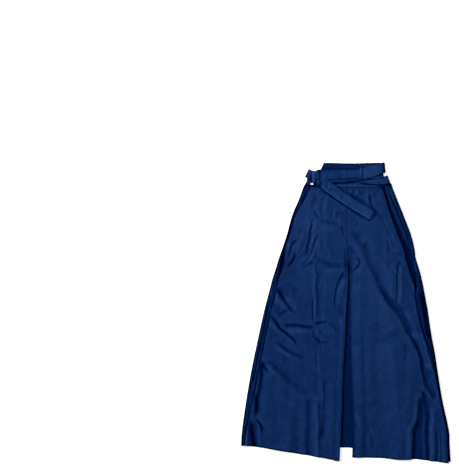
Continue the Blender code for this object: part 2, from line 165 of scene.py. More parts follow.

# Creases: the width, the height at the start and at the end, the painted shade, and then x and y of each
# point. Troughs have a height below 0, and a darker painted shade one below 0, while above 0 it is a
# painted highlight. A crease is that wide on its steep side, and runs out gently on the side towards
# which the cloth was smoothed down.
LEFT_CREASES = (
    # Where the tie's tail presses the cloth
    (4, -1.2, -1.2, 0, -104, 440, -60, 414, -18, 386, 40, 347, 74, 322),
    # Gathers and soft folds below the band
    (5, -1.8, -1.4, 0, -64, 416, -80, 402, -85, 380, -86, 352, -90, 330),
    (8, 1.4, 1, 0, -70, 410, -74, 370, -78, 336),
    (4, -1.8, -1.2, 0, -112, 366, -108, 346, -98, 330, -92, 322),
    (6, 1.6, 1, 0, -104, 392, -101, 362, -97, 342),
    (5, -1, -1, 0, -48, 372, -50, 345, -54, 322),
    (5, 1.2, 0.9, 0, -40, 376, -41, 345, -42, 322),
    (5, -1, -0.8, 0, -29, 362, -30, 342, -34, 322),
    (7, 0.9, 0.9, 0, -19, 350, -20, 318, -14, 290),
    (9, 1.4, 0.8, 0, -116, 424, -124, 386, -134, 346),
    (8, -1.2, -0.8, 0, -104, 424, -112, 386, -122, 350),
    # The puffed square below the gathers
    (8, -1.2, -0.9, -0.08, -106, 338, -82, 321, -55, 315, -30, 311, -6, 304),
    (12, 1, 0.8, 0, -92, 302, -60, 296, -26, 292),
    (4.5, -1.8, -1.2, 0, -18, 312, -12, 294, -7, 272, -5, 252),
    (6, -0.8, -0.7, -0.05, -112, 204, -90, 184, -66, 174, -35, 170, 2, 170),
    (5, -0.9, -0.7, 0, -90, 268, -86, 240, -92, 205),
    # Hip creases
    (4.2, -2.6, -1.8, -0.26, -118, 338, -121, 298, -127, 262, -134, 232, -146, 190),
    (8, 1.8, 1, 0, -107, 330, -109, 300, -112, 272),
    (3.5, -1.7, -1.2, -0.1, -88, 280, -104, 262, -112, 242, -120, 217, -131, 194),
    (3.2, -1.8, -1.4, -0.16, -164, 274, -172, 257, -187, 242, -196, 222, -203, 196),
    (3.8, -2.6, -1.8, -0.24, -179, 220, -182, 194, -192, 176, -206, 152),
    (6, 1.6, 1, 0, -188, 256, -200, 224, -214, 190),
    (4, -1.2, -0.9, 0, -156, 300, -162, 276, -170, 256),
    (8, 1.2, 0.8, 0, -150, 300, -158, 250, -170, 200),
    (3.5, -1, -0.8, 0, -146, 190, -160, 176, -172, 164),
    (3.5, 1, 0.8, 0, -132, 200, -150, 182, -164, 158),
    (3, -1, -0.8, 0, -112, 186, -126, 172, -146, 162),
    (3, 0.9, 0.8, 0, -108, 216, -116, 196, -130, 180),
    (3, -0.9, -0.8, 0, -104, 222, -110, 204, -122, 190),
    # The pressed pleat down the leg
    (3.6, 1.1, 1, 0, -110, 176, -109, 60, -107, -40),
    (3, -1, -1.2, 0, -116, 70, -117, 10, -114, -46),
    (5, -0.9, -0.7, 0, -99, 150, -99, 40, -98, -30),
    (6, 1.3, 0.9, 0, -97, -106, -97, -160, -97, -226),
    (4, -0.9, -0.7, 0, -104, -106, -105, -170, -104, -220),
    # Creases that run in from the side seam
    (3.6, -2.6, -2.4, -0.2, -248, 100, -239, 80, -226, 56, -214, 38, -197, 15, -178, -8),
    (7, 1.8, 1.2, 0.06, -252, 88, -241, 52, -226, 26, -210, 8),
    (10, -1.2, -0.8, -0.24, -230, 100, -221, 70, -209, 40),
    (6, -1.2, -0.8, 0, -182, 100, -182, 66, -182, 30),
    (4.5, -1.3, -0.8, -0.08, -186, 10, -206, 10, -224, 0, -242, -14),
    (3.6, -2.4, -1.6, -0.18, -270, -4, -252, -28, -232, -54, -208, -72, -184, -94, -168, -124),
    (5, 1.6, 0.9, 0, -272, -22, -254, -50, -228, -78),
    (5, -1.6, -1.3, -0.08, -228, -50, -206, -45, -180, -43, -148, -46, -116, -49, -100, -42),
    (4, -1.8, -1, 0, -112, -46, -100, -36, -78, -32, -58, -33),
    (9, 0.8, 0.6, 0, -206, -62, -160, -64, -122, -66),
    # The ring beside the pleat
    (3, -0.6, -0.5, -0.16, -113, -40, -115, -68, -106, -92, -84, -103, -52, -98),
    (3, -0.5, -0.4, -0.1, -66, -30, -44, -48, -33, -76),
    (5, 0.6, 0.5, 0, -102, -52, -97, -74, -88, -88),
    (4, -0.4, -0.4, -0.08, -92, -56, -85, -76, -74, -90),
    (12, 0.5, 0.5, 0, -80, -46, -62, -66, -50, -88),
    # Soft slanting waves of the lower leg
    (5, -1, -0.7, 0, -250, -92, -226, -118, -200, -136, -172, -148, -134, -160),
    (6, 1, 0.7, 0, -256, -104, -232, -128, -204, -148, -176, -160),
    (5, -2.2, -1.6, -0.14, -296, -160, -290, -182, -272, -206, -262, -216),
    (9, -1.2, -0.6, -0.08, -284, -158, -258, -184, -232, -207, -196, -236, -160, -268, -130, -300),
    (8, 1, 0.8, 0, -280, -176, -262, -196, -236, -226),
    (8.5, -2.6, -2, -0.52, -297, -160, -298, -216, -301, -262, -311, -310, -316, -370),
    (6, -1.4, -1.4, -0.3, -318, -268, -316, -310, -316, -350, -322, -384),
    # Long soft waves down to the hem
    (11, -0.8, -2.2, -0.1, -132, -286, -133, -390, -134, -560),
    (8, 1.2, 2, 0, -105, -270, -104, -380, -104, -560),
    (7, -1.2, -1.6, -0.12, -76, -220, -76, -330, -84, -450),
    (6, -0.9, -1.2, 0, -92, -300, -90, -380, -90, -470),
    (14, 0.8, 1.4, 0, -52, -230, -54, -380, -54, -560),
    (20, 1, 1.4, 0, -196, -290, -204, -400, -206, -500),
    (18, -0.8, -1.2, 0, -232, -290, -240, -380, -246, -480),
    # Flutes at the hem's outer corner
    (6, 0.8, 2, 0, -346, -360, -350, -420, -350, -520),
    (15, -1.6, -3.4, -0.85, -332, -366, -330, -400, -327, -430, -321, -470, -318, -520),
    (4.5, -1.8, -2, -0.26, -326, -360, -306, -382, -294, -404, -296, -436),
    (9, 1, 2, 0, -308, -396, -304, -430, -300, -520),
    (3.5, -1.4, -1.4, 0, -318, -276, -326, -330, -332, -366, -344, -400),
    # Centre and inner edge
    (3.6, -2, -1.4, -0.22, 2, 156, -17, 127, -30, 92, -37, 62, -41, 10),
    (8, 1.6, 0.9, 0, 4, 128, -10, 92, -20, 50, -24, 10),
    (5, 1.6, 1.6, 0, -9, 0, -14, -150, -21, -330, -26, -560),
    (3.4, -1.6, -1.8, 0, 0, 352, 1, 290, 2.5, 226),
    (8, -1.6, -1.4, -0.22, 3, 250, 3, 190, 2, 140),
)
RIGHT_CREASES = (
    # Where the tie's tail presses the cloth
    (4, -1.2, -1.2, 0, -18, 386, 40, 347, 74, 322),
    (4, -1.4, -1.4, 0, -26, 456, 10, 420, 58, 391, 108, 354, 86, 321),
    # Gathers below the band
    (4, -1.6, -0.8, 0, -3, 436, 0, 402),
    (5, 1.4, 0.8, 0, 14, 436, 15, 396),
    (3.5, -2, -1, 0, 28, 438, 29, 412),
    (4, 1.6, 1, 0, 42, 438, 46, 412),
    (3.5, -1.6, -1, 0, 50, 438, 56, 404),
    (3.5, 1.8, 1.2, 0, 73, 436, 78, 396, 87, 362),
    (3.5, -1.8, -1.2, 0, 82, 424, 88, 390, 96, 358),
    (4, -1.2, -0.8, 0, 100, 436, 107, 392),
    (6, 1.4, 1, 0, 112, 434, 126, 380, 142, 338),
    (4, -1.8, -1.2, 0, 126, 434, 140, 400, 152, 368),
    # The long fold from the hip to the outer knee
    (11, -1.6, -2.6, -0.16, 28, 300, 40, 262, 62, 227, 82, 175, 106, 131, 126, 87, 147, 46, 172, 17, 196,
     -12, 214, -50, 228, -88),
    (7, -1.2, -3, -0.26, 118, 104, 147, 46, 174, 18, 197, -12, 214, -52, 233, -92, 253, -127, 263, -158,
     268, -192, 277, -229, 290, -264, 316, -312),
    (4.5, -1.4, -1.6, -0.28, 224, -74, 236, -97, 253, -128, 262, -157, 267, -191, 276, -228, 290, -264,
     312, -304),
    (17, 1.4, 1.4, 0, 22, 262, 66, 168, 104, 84, 140, 0, 168, -80),
    (9, 1.6, 2.4, 0, 206, 20, 246, -62, 276, -132, 300, -210),
    # Hip creases
    (4, -1.6, -1.2, 0, 107, 360, 120, 332, 137, 302, 152, 267, 167, 237, 182, 214),
    (3.5, -1.6, -1, 0, 139, 272, 145, 242, 150, 212, 156, 190),
    (7, 1.2, 0.8, 0, 150, 292, 172, 240, 190, 200),
    (4, -2.2, -1.6, 0, 183, 186, 180, 142, 179, 92, 177, 20),
    (7, 1.6, 1.2, 0, 192, 182, 192, 100, 190, 20),
    (8, 1, 0.7, 0, 160, 180, 158, 100, 156, 30),
    (3.5, -1.6, -1.6, 0, 205, 134, 220, 102, 235, 67, 248, 34, 262, -6),
    (3.5, 1.2, 1.2, 0, 212, 134, 228, 98, 243, 62, 256, 30),
    # The crotch
    (3.4, -1.5, -1.3, -0.42, 24, 198, 40, 193, 47.5, 180, 44, 167, 35, 155, 24, 142),
    (5, -0.9, -0.7, -0.22, 14, 246, 23, 222, 36, 198),
    (8, -1.6, -1.4, -0.26, 10, 250, 13, 210, 15, 176, 15, 120),
    (7, -1, -0.8, 0, 60, 250, 68, 232, 66, 216),
    # Soft lengthwise waves
    (22, 1.2, 1, 0, 50, 120, 64, -80, 80, -330),
    (20, -1, -1.4, 0, 104, -20, 112, -240, 120, -560),
    (20, 1, 1.8, 0, 150, -90, 166, -300, 180, -560),
    (16, -0.6, -1.2, 0, 60, -260, 66, -400, 68, -560),
    (14, 1, 1.4, 0, 36, -100, 42, -300, 44, -560),
    (14, 0.8, 1.6, 0, 216, -240, 214, -380, 214, -560),
    (5, -1, -0.8, 0, 203, -96, 206, -140, 206, -182),
    (5, -0.9, -0.9, 0, 63, -410, 63, -498),
    (5, -0.9, -0.9, 0, 90, -410, 90, -498),
    (5.5, -1.6, -1, 0, 26, -366, 36, -400, 50, -440),
    (9, 1, 0.9, 0, 30, -330, 46, -390, 62, -440),
    # The ridge beside the outer seam, with fine lines along it
    (4, 1.4, 1.2, 0, 256, -50, 280, -122, 304, -206, 314, -246),
    (3, -1.1, -1, 0, 246, -40, 272, -124, 296, -206),
    (3, -1.1, -1, 0, 266, -52, 290, -130, 314, -214),
    # Flutes at the hem's outer corner
    (7, 1.2, 2.6, 0, 252, -270, 248, -330, 236, -390, 226, -420, 222, -570),
    (5.5, -2.6, -2.8, -0.4, 264, -262, 278, -308, 284, -356, 284, -440, 284, -570),
    (6, -1.4, -2.2, -0.22, 252, -372, 244, -410, 241, -450, 240, -570),
    (20, -1.6, -2.6, -0.34, 264, -280, 266, -350, 262, -420, 261, -570),
    (9, 1.2, 2.4, 0, 306, -320, 300, -400, 299, -570),
    (3.5, -1.8, -2.2, 0, 316, -400, 317, -460, 317, -570),
    (3.5, -0.9, -1.2, 0, 330, -410, 332, -460, 334, -570),
    (6, 0.8, 1.6, 0, 340, -400, 344, -570),
)

# Streaks along the strips that the back panels show outside the slits, with painted shade in their
# troughs and painted highlight on their ridges
STRIP_CREASES = (
    (2.6, 1.6, 1, 0.3, 150, 446, 172, 392, 200, 326, 224, 262, 238, 196, 256, 112),
    (2.6, -1.6, -1.2, -0.4, 146, 440, 166, 386, 192, 326, 214, 268, 230, 196, 250, 112),
    (2.4, -1.4, -1.2, -0.4, 158, 430, 182, 372, 208, 306, 230, 238, 244, 160),
    (2.4, 1.2, 0.9, 0.3, 164, 436, 188, 372, 214, 306, 235, 240, 249, 160),
    (2.2, -1.2, -1, -0.3, 178, 404, 196, 360, 214, 318, 228, 280),
    (3, -1.2, -1.6, -0.2, 262, 96, 268, 40, 276, -30, 290, -100),
    (2.4, -1.2, -1.2, -0.34, -138, 436, -157, 376, -181, 318),
    (2.4, 1.2, 1.2, 0.36, -144, 440, -163, 376, -186, 318),
    (2, 0.6, 0.6, 0.75, -217, 196, -223, 179, -234, 140, -243, 110),
    (2.4, 0.9, 0.9, 0.4, -250, 132, -258, 96, -266, 50),
    (3, -1.4, -1.4, -0.3, -262, 60, -276, 0, -292, -80, -312, -170, -330, -260),
    (2.6, 1, 1, 0.3, -270, 60, -284, 0, -300, -80, -320, -170, -338, -260, -352, -360),
)

# Painted shadow lines where the ties lie on what is below them: width, how much darker the painted
# shadow is, and the points
TIE_SHADOW_LINES = (
    (3.2, 0.70, -104, 449, -84, 434, -62, 417, -38, 399, 4, 372, 46, 345.5, 81, 323),
    (3.6, 1.05, -50, 454, -30, 454, -14, 455, 25, 457.5, 48, 460),
    (3, 0.85, 52, 454, 75, 450, 100, 449, 129, 448.5),
    (3.2, 0.62, -48, 455, -18, 434, 24, 405, 66, 378, 101, 356),
    (3, 0.60, 102, 357, 92, 339, 81, 323),
    (9, 0.65, 122, 445, 150, 442),
    (7, 0.75, -124, 453, -110, 444),
)

# Unevenness of the laid cloth: height, size across and along the legs, and a seed
UNEVENNESS = (
    (1.3, 66, 150, 31),
    (0.9, 27, 110, 3),
    (0.22, 12, 50, 4),
    (0.04, 6, 14, 5),
)

# Patches of fine crinkles: middle, reach, height, size across and along, slant and a seed
CRINKLES = (
    (-140, 240, 60, 90, 0.85, 5, 26, 0.45, 41),
    (-100, 390, 70, 45, 0.4, 5, 24, 0.25, 44),
    (110, 380, 50, 70, 1, 5, 34, -0.4, 43),
    (186, 190, 45, 130, 0.9, 5, 34, -0.45, 42),
    (285, -150, 40, 110, 0.4, 4, 34, -0.32, 45),
    (-260, -40, 40, 110, 0.4, 5, 26, 0.3, 46),
)

# Where the front panels are painted paler or darker: middle, reach across and along, and tone. The
# darker patches by the crotch are painted shade.
TONE_PATCHES = (
    (-125, 330, 75, 130, 0.34),
    (60, 260, 90, 120, 0.16),
    (95, 40, 110, 150, 0.24),
    (130, -175, 90, 90, 0.20),
    (140, -350, 70, 90, 0.12),
    (-130, 95, 70, 60, 0.14),
    (-170, -60, 90, 120, -0.04),
    (15, 165, 13, 55, -0.16),
    (8, 160, 11, 22, -0.46),
    (3, 108, 8, 42, -0.24),
)

# Each tie's stations: x, y and z of its middle line, the clockwise turn of its width from +Y, and
# its width. The upper tie runs round the right end, left over the band, is folded back and runs
# down to its free end.
UPPER_TIE = (
    (66, 499, 4.1, -4, 35),
    (112, 503.5, 4.1, -5, 36),
    (131, 508.2, 4.3, -6, 37),
    (136.5, 509.2, 5.6, -5, 36),
    (131, 508.5, 7, -6, 37),
    (117, 504.2, 7.4, -9, 38),
    (98, 497.8, 8.6, -12, 39),
    (72, 489.8, 10.6, -10, 38),
    (48, 487, 11.3, -4, 33.5),
    (21, 486, 11.5, 0, 29.5),
    (-28, 485.5, 11.5, 0, 29.5),
    (-64, 481, 11.5, 6, 35),
    (-84, 472.5, 11.7, 14, 41),
    (-92, 468, 13.1, 18, 43),
    (-85, 461.5, 14.5, 24, 41),
    (-63, 442, 14.1, 31, 38),
    (-28, 415.5, 10.6, 32.3, 36.5),
    (14, 388, 7, 32.3, 35.5),
    (56, 361.3, 5, 32.3, 34.5),
    (90, 340, 4, 32.3, 33.5),
)
# The lower tie runs round the right end, left behind the upper one and through the keeper
LOWER_TIE = (
    (82, 461, 3.6, 0, 26),
    (129, 463, 3.6, -6, 27),
    (145, 467.5, 4, -16, 30),
    (150.5, 467.5, 5.9, -20, 34),
    (145, 466.5, 7.9, -16, 31),
    (129, 462, 8.4, -6, 25),
    (91, 459.5, 8.4, -4, 20.5),
    (58, 463, 8.4, -3, 19),
    (25, 466.5, 8.4, 0, 18),
    (-14, 466.5, 8.4, 0, 23),
    (-38, 468, 8.4, 3, 25),
    (-63, 472, 8.4, 6, 29),
    (-88, 483.5, 8.3, 2, 35),
    (-102, 484, 7.9, 5, 34),
    (-114, 480.5, 7.7, 16, 29),
    (-122, 482.5, 7.6, 24, 31),
    (-137.5, 490.5, 7, 27, 32),
)


# Shape helpers


def ease(value):
    """0 before 0, 1 after 1, and smooth in between."""
    t = np.clip(value, 0.0, 1.0)
    return t * t * (3 - 2 * t)


def between(value, low, high, rise, fall):
    """1 inside the range and 0 outside, with soft ends of the given lengths."""
    return ease((value - low) / rise) * ease((high - value) / fall)


def hill(value, width, middle=0.0):
    """1 at the middle, and falling to 0 on both sides."""
    return np.exp(-(((value - middle) / width) ** 2))


def spot(x, y, at_x, at_y, wide, long):
    """1 at a place, and falling to 0 all round it."""
    return np.exp(-(((x - at_x) / wide) ** 2) - ((y - at_y) / long) ** 2)


def smooth_path(points, per_span):
    """Points on a Catmull-Rom curve through the given ones."""
    p = np.array(points, float)
    ends = np.vstack([p[:1], p, p[-1:]])
    made = []
    for a, b, c, d in zip(ends[:-3], ends[1:-2], ends[2:-1], ends[3:]):
        for step in range(per_span):
            t = step / per_span
            curve = 2 * b + (c - a) * t + (2 * a - 5 * b + 4 * c - d) * t**2
            made.append(0.5 * (curve + (3 * b - a - 3 * c + d) * t**3))
    made.append(p[-1])
    return np.array(made)


class Leg:
    """One side of the garment, with its front panel's creases and hem."""

    def __init__(self, side, name, sections, creases, hem):
        self.side, self.name, self.creases, self.hem = side, name, creases, hem
        self.columns = smooth_path(sections, 12)[::-1].T

    def at(self, y):
        """outline, strip, opening, lift and inner at each y."""
        return [np.interp(y, self.columns[0], column) for column in self.columns[1:]]

    def inner(self, y):
        """The front panel's inner edge at each y."""
        return np.interp(y, self.columns[0], self.columns[5])

    def front_edges(self, y):
        """The front panel's outer and inner edge at each y."""
        outline, strip, opening, _, inner = self.at(y)
        return outline - self.side * (strip + np.maximum(opening, LEAST_OPENING)), inner

    def hem_at(self, u):
        """The front panel's hem, from its outer edge at 0 to its inner one at 1."""
        return np.interp(u, np.linspace(0, 1, len(self.hem)), self.hem)


LEFT = Leg(-1, "left", LEFT_LEG, LEFT_CREASES, LEFT_HEM)
RIGHT = Leg(1, "right", RIGHT_LEG, RIGHT_CREASES, RIGHT_HEM)


def noise(x, y, cell_x, cell_y, seed):
    """Smooth random waves from -1 to 1, with cells of the given size."""
    table = np.random.default_rng(seed).uniform(-1, 1, (64, 64))
    u, v = x / cell_x + 31.7, y / cell_y + 31.7
    i, j = np.floor(u).astype(int), np.floor(v).astype(int)
    a, b = ease(u - i), ease(v - j)
    i0, j0, i1, j1 = i % 64, j % 64, (i + 1) % 64, (j + 1) % 64
    low = table[i0, j0] * (1 - a) + table[i1, j0] * a
    high = table[i0, j1] * (1 - a) + table[i1, j1] * a
    return low * (1 - b) + high * b


def nearest(path, x, y):
    """How far points are from a path, how far along it, and on which side, with its length.

    The side is 1 where the cloth was smoothed down, and -1 opposite.
    """
    best = np.full(x.shape, 1e9)
    side, along = np.zeros(x.shape), np.zeros(x.shape)
    done = 0.0
    for (ax, ay), (bx, by) in zip(path[:-1], path[1:]):
        step = math.hypot(bx - ax, by - ay)
        ux, uy = (bx - ax) / step, (by - ay) / step
        t = np.clip((x - ax) * ux + (y - ay) * uy, 0, step)
        dx, dy = x - ax - t * ux, y - ay - t * uy
        gap = np.hypot(dx, dy)
        closer = gap < best
        best = np.where(closer, gap, best)
        towards = (dx * SMOOTHED_X + dy * SMOOTHED_Y) / np.maximum(gap, 1e-6)
        side = np.where(closer, towards, side)
        along = np.where(closer, done + t, along)
        done += step
    return best, along, side, done


def creased(creases, x, y):
    """How far all the creases together raise each point, and the painted shade and highlight they add
    there.
    """
    raised, crease_shading = np.zeros_like(x), np.zeros_like(x)
    # Creases wander a little off their paths
    off_x = x + 2.0 * noise(x, y, 38, 38, 6)
    off_y = y + 2.0 * noise(x, y, 38, 38, 7)
    for width, height0, height1, shade_and_tone, *turns in creases:
        path = smooth_path(np.reshape(turns, (-1, 2)), 5)
        reach = 2.6 * width * (1 + RUN_OUT)
        near = (x > path[:, 0].min() - reach) & (x < path[:, 0].max() + reach)
        near &= (y > path[:, 1].min() - reach) & (y < path[:, 1].max() + reach)
        if not near.any():
            continue
        gap, along, side, length = nearest(path, off_x[near], off_y[near])
        height = height0 + (height1 - height0) * along / length
        taper = min(0.38 * length, 34.0)
        ends = between(along, 0, length, taper, taper)
        gentle = 0.5 - 0.5 * np.sign(height0) * side
        d = gap / (width * (1 + RUN_OUT * ease(gentle)))
        bell = np.exp(-(d**2))
        if height0 < 0 and width < SHARP_BELOW:
            bell = 0.6 * bell + 0.4 * np.exp(-1.5 * d)
        raised[near] += height * ends * bell
        crease_shading[near] += shade_and_tone * ends * hill(gap, CREASE_SHADE_SHARE * width)
    return raised, crease_shading


def support(x, y):
    """What the front panels lie on: the back panels, and the inner panels where those reach."""
    low = LEFT.inner(y) - INNER_SEAM - INNER_LEFT - INNER_MARGIN
    high = RIGHT.inner(y) + INNER_RIGHT + INNER_MARGIN
    over = between(x, low, high, 14, 14) * ease((CROTCH_Y + 14 - y) / 14)
    return LAYER + LAYER * over


def front_form(leg, x, y):
    """The underside of a front panel at each point, and the painted shade and highlight of its creases.
    """
    outline, strip, opening, lift, inner = leg.at(y)
    outer = outline - leg.side * (strip + opening)
    from_outer, from_inner, from_top = np.abs(x - outer), np.abs(x - inner), WAIST_Y - y
    below_slit = ease((SLIT_Y - y) / 40)
    base = support(x, y)
    rest = base + REST_LEVEL
    # Near its edges and under the band the cloth lies stiller
    free = 1 - hill(from_outer, 7)
    free *= 1 - 0.85 * hill(from_inner, 9)
    free *= 0.35 + 0.65 * ease(from_top / 10)
    folds, shade_and_tone = creased(leg.creases, x, y)
    folds *= FOLD_DEPTH
    for height, wide, long, seed in UNEVENNESS:
        folds += height * noise(x, y, wide, long, seed)
    for at_x, at_y, wide, long, height, across, along, slant, seed in CRINKLES:
        crinkle = noise(x - slant * y, y, across, along, seed)
        folds += height * spot(x, y, at_x, at_y, wide, long) * crinkle
    z = rest + free * folds
    seam = 2 * SIDE_RADIUS - CLOTH + lift
    z += (seam - rest) * hill(from_outer, EDGE_REACH)
    # The side seam pulls the cloth down, and the slit's edge is pressed flat
    z -= 1.8 * hill(from_outer, 4.0) * below_slit
    z -= 0.9 * hill(from_outer, 2.0) * (1 - below_slit)
    # The left panel's inner edge lies on the right panel's down to the crotch
    laid = 2 * LAYER
    crest = laid + CLOTH + 2 * CREST_RADIUS + GAP + 0.6
    if leg.side < 0:
        below_crotch = ease((CROTCH_Y - y) / 60)
        edge = crest + (rest + 1.2 - crest) * below_crotch
        reach = EDGE_REACH - 14 * below_crotch
    else:
        edge = crest + (laid - crest) * ease((180 - y) / 120)
        reach = EDGE_REACH
    z += (edge - rest) * hill(from_inner, reach)
    z -= 1.8 * hill(from_inner, 3.2) * ease((y - 120) / 40)
    z += (FRONT_BAND_Z - z) * hill(from_top, 16)
    # Nowhere does it dip below what it lies on
    above = z - base
    return base + 0.5 * (above + np.sqrt(above**2 + 0.5)), shade_and_tone


def panel_top(x, y):
    """The upper side of whichever front panel is at each point."""
    split = 0.5 * (LEFT.inner(y) + RIGHT.inner(y))
    return CLOTH + np.where(x < split, front_form(LEFT, x, y)[0], front_form(RIGHT, x, y)[0])


def tie_contact_shadow(x, y):
    """Painted shadow on the panels along the lines where a tie lies on them."""
    tone = np.zeros_like(x)
    for width, depth, *turns in TIE_SHADOW_LINES:
        gap = nearest(smooth_path(np.reshape(turns, (-1, 2)), 6), x, y)[0]
        tone -= depth * hill(gap, width)
    return tone


# Materials


# Colour against tone, where the tone holds painted shade and highlight as well as the cloth's own
# variation: the tone, and the share of red, green and blue that is left
TONE_COLOURS = (
    (-0.95, 0.03, 0.04, 0.13),
    (-0.50, 0.22, 0.42, 0.63),
    (0.00, 1.00, 1.00, 1.00),
    (0.50, 2.10, 1.62, 1.42),
)
# The middle of the variation that a cloth's noise adds to its tone
MEAN_VARIATION = 0.31
HUE_DRIFT = 0.009


def cloth_material(name, tint, darker=1.0, weave=0.25):
    """Plain woven navy cloth with a fine weave, faint slubs, small colour variation, and painted shade
    and highlight from its tone attribute.
    """
    material = bpy.data.materials.new(name)
    material.use_nodes = True
    nodes, links = material.node_tree.nodes, material.node_tree.links
    shader = nodes["Principled BSDF"]
    shader.inputs["Roughness"].default_value = 0.55
    shader.inputs["Metallic"].default_value = 0.0
    shader.inputs["Specular IOR Level"].default_value = 0.0
    place = nodes.new("ShaderNodeTexCoord")

    def add(kind, inputs, **settings):
        """A node with these settings, whose inputs take a value or another node's output."""
        node = nodes.new("ShaderNode" + kind)
        for key, value in settings.items():
            setattr(node, key, value)
        for key, value in inputs.items():
            if isinstance(value, bpy.types.NodeSocket):
                links.new(value, node.inputs[key])
            else:
                node.inputs[key].default_value = value
        return node

    def texture(kind, scale, stretch, **inputs):
        """A pattern in the piece's own space, drawn out along the legs."""
        size = (scale, scale * stretch, scale)
        mapping = add("Mapping", {"Scale": size, "Vector": place.outputs["Object"]})
        return add(kind, {"Vector": mapping.outputs["Vector"], **inputs})

    def plus_share(first, share, second):
        """The first value times the share, plus the second value."""
        sums = add("Math", {0: first, 1: share, 2: second}, operation="MULTIPLY_ADD")
        return sums.outputs["Value"]

    patches = texture("TexNoise", 14, 0.6, Detail=3.0, Roughness=0.55)
    slubs = texture("TexNoise", 420, 0.12, Detail=2.0, Roughness=0.6)
    mixed = plus_share(slubs.outputs["Fac"], 0.24, patches.outputs["Fac"])
    # The tone attribute paints shade into the creases, where the colour also keeps more of its blue, and
    # paints highlight on ridges
    tone = add("Attribute", {}, attribute_name="tone")
    shade = add("MapRange", {
        "From Min": MEAN_VARIATION - 1.0,
        "From Max": MEAN_VARIATION + 1.0,
        "Value": plus_share(mixed, 0.5, tone.outputs["Fac"]),
    })
    ramp = add("ValToRGB", {"Fac": shade.outputs["Result"]})
    stops = ramp.color_ramp.elements
    while len(stops) < len(TONE_COLOURS):
        stops.new(0.5)
    for stop, (at, red, green, blue) in zip(stops, TONE_COLOURS):
        stop.position = 0.5 + at / 2
        # A darker copy keeps more of its blue; for the back and inner panels the darkening is painted
        # shade
        shares = (red * darker**1.5, green * darker, blue * darker**0.65)
        stop.color = (*(t * s for t, s in zip(tint, shares)), 1)
    # The hue drifts a little between patches, towards violet and towards teal
    drift = texture("TexNoise", 26, 0.5, Detail=2.0, Roughness=0.5)
    turn = add("MapRange", {
        "From Min": 0.3,
        "From Max": 0.7,
        "To Min": 0.5 - HUE_DRIFT,
        "To Max": 0.5 + HUE_DRIFT,
        "Value": drift.outputs["Fac"],
    })
    shift = add("HueSaturation", {"Hue": turn.outputs["Result"], "Color": ramp.outputs["Color"]})
    links.new(shift.outputs["Color"], shader.inputs["Base Color"])
    # Twill lines, threads, and soft small wrinkles
    twill = texture("TexWave", 900, 0.7, Distortion=0.6)
    twill.bands_direction = "DIAGONAL"
    fine = add("Bump", {"Strength": weave, "Distance": 0.0002, "Height": twill.outputs["Fac"]})
    wrinkles = texture("TexNoise", 75, 0.45, Detail=3.0, Roughness=0.5)
    soft = add("Bump", {
        "Strength": 0.18,
        "Distance": 0.0012,
        "Height": wrinkles.outputs["Fac"],
        "Normal": fine.outputs["Normal"],
    })
    links.new(soft.outputs["Normal"], shader.inputs["Normal"])
    return material


NAVY = (0.0032, 0.0150, 0.0640)
STRAP_NAVY = (0.0052, 0.0222, 0.0840)
front_cloth = cloth_material("front_cloth", NAVY)
# The back and inner panels' cloth is the same navy painted darker, as painted shade
back_cloth = cloth_material("back_cloth", NAVY, darker=0.8)
inner_cloth = cloth_material("inner_cloth", NAVY, darker=0.4)
strap_cloth = cloth_material("strap_cloth", STRAP_NAVY, weave=0.45)
board_cloth = cloth_material("board_cloth", NAVY, darker=0.66)
keeper_cloth = cloth_material("keeper_cloth", (0.0095, 0.0255, 0.0880), weave=0.6)
loop_cloth = cloth_material("loop_cloth", STRAP_NAVY, weave=0.6)
thread = cloth_material("thread", (0.0075, 0.0290, 0.1020), weave=0.2)


# Pieces


def new_object(name, mesh):
    """An object of that mesh in the scene."""
    made = bpy.data.objects.new(name, mesh)
    bpy.context.scene.collection.objects.link(made)
    return made


def finish_piece(piece, material, slot, *nodes):
    """Dress a piece, hide the nodes it stands for, and attach it to the root body. The slot is not used.
    """
    piece.data.materials.append(material)
    for node in nodes:
        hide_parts(node)
    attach(piece, "root")
    return piece


def cloth_piece(node, mesh, tone, cloth, offset, material):
    """The visual piece of a node: a smooth mesh with its tone, which carries painted shade and
    highlight, and a wall of cloth.
    """
    mesh.shade_smooth()
    mesh.attributes.new("tone", "FLOAT", "POINT").data.foreach_set("value", tone)
    piece = new_object(node + "_cloth", mesh)
    wall = piece.modifiers.new("wall", "SOLIDIFY")
    wall.thickness = cloth * MM
    wall.offset = offset
    return finish_piece(piece, material, node, node)


def spread(values, times):
    """The grid of values, blurred by repeated averaging with the four neighbours."""
    for _ in range(times):
        v = np.pad(values, 1, "edge")
        values = 0.2 * (values + v[:-2, 1:-1] + v[2:, 1:-1] + v[1:-1, :-2] + v[1:-1, 2:])
    return values


def painted_fold_shading(z):
    """How much painted shade or painted highlight a surface gets: below 0 in creases and hollows, and
    above 0 along ridges.
    """
    narrow, wide = z - spread(z, 8), z - spread(z, 60)
    return np.clip(NARROW_TONE * narrow + WIDE_TONE * wide, -0.62, 0.5)


def grid_piece(node, points, tone, cloth, material, offset=1.0):
    """A sheet through rows of points, with columns towards +X and rows towards +Y."""
    rows, columns = points.shape[:2]
    index = np.arange(rows * columns).reshape(rows, columns)
    quads = np.stack([index[:-1, :-1], index[:-1, 1:], index[1:, 1:], index[1:, :-1]], -1)
    mesh = bpy.data.meshes.new(node + "_cloth")
    mesh.from_pydata((points.reshape(-1, 3) * MM).tolist(), [], quads.reshape(-1, 4).tolist())
    return cloth_piece(node, mesh, tone.ravel(), cloth, offset, material)


def crowded(count):
    """Steps from 0 to 1 that are closer together near both ends."""
    t = np.linspace(0, 1, count)
    return t - 0.35 * np.sin(math.tau * t) / math.tau


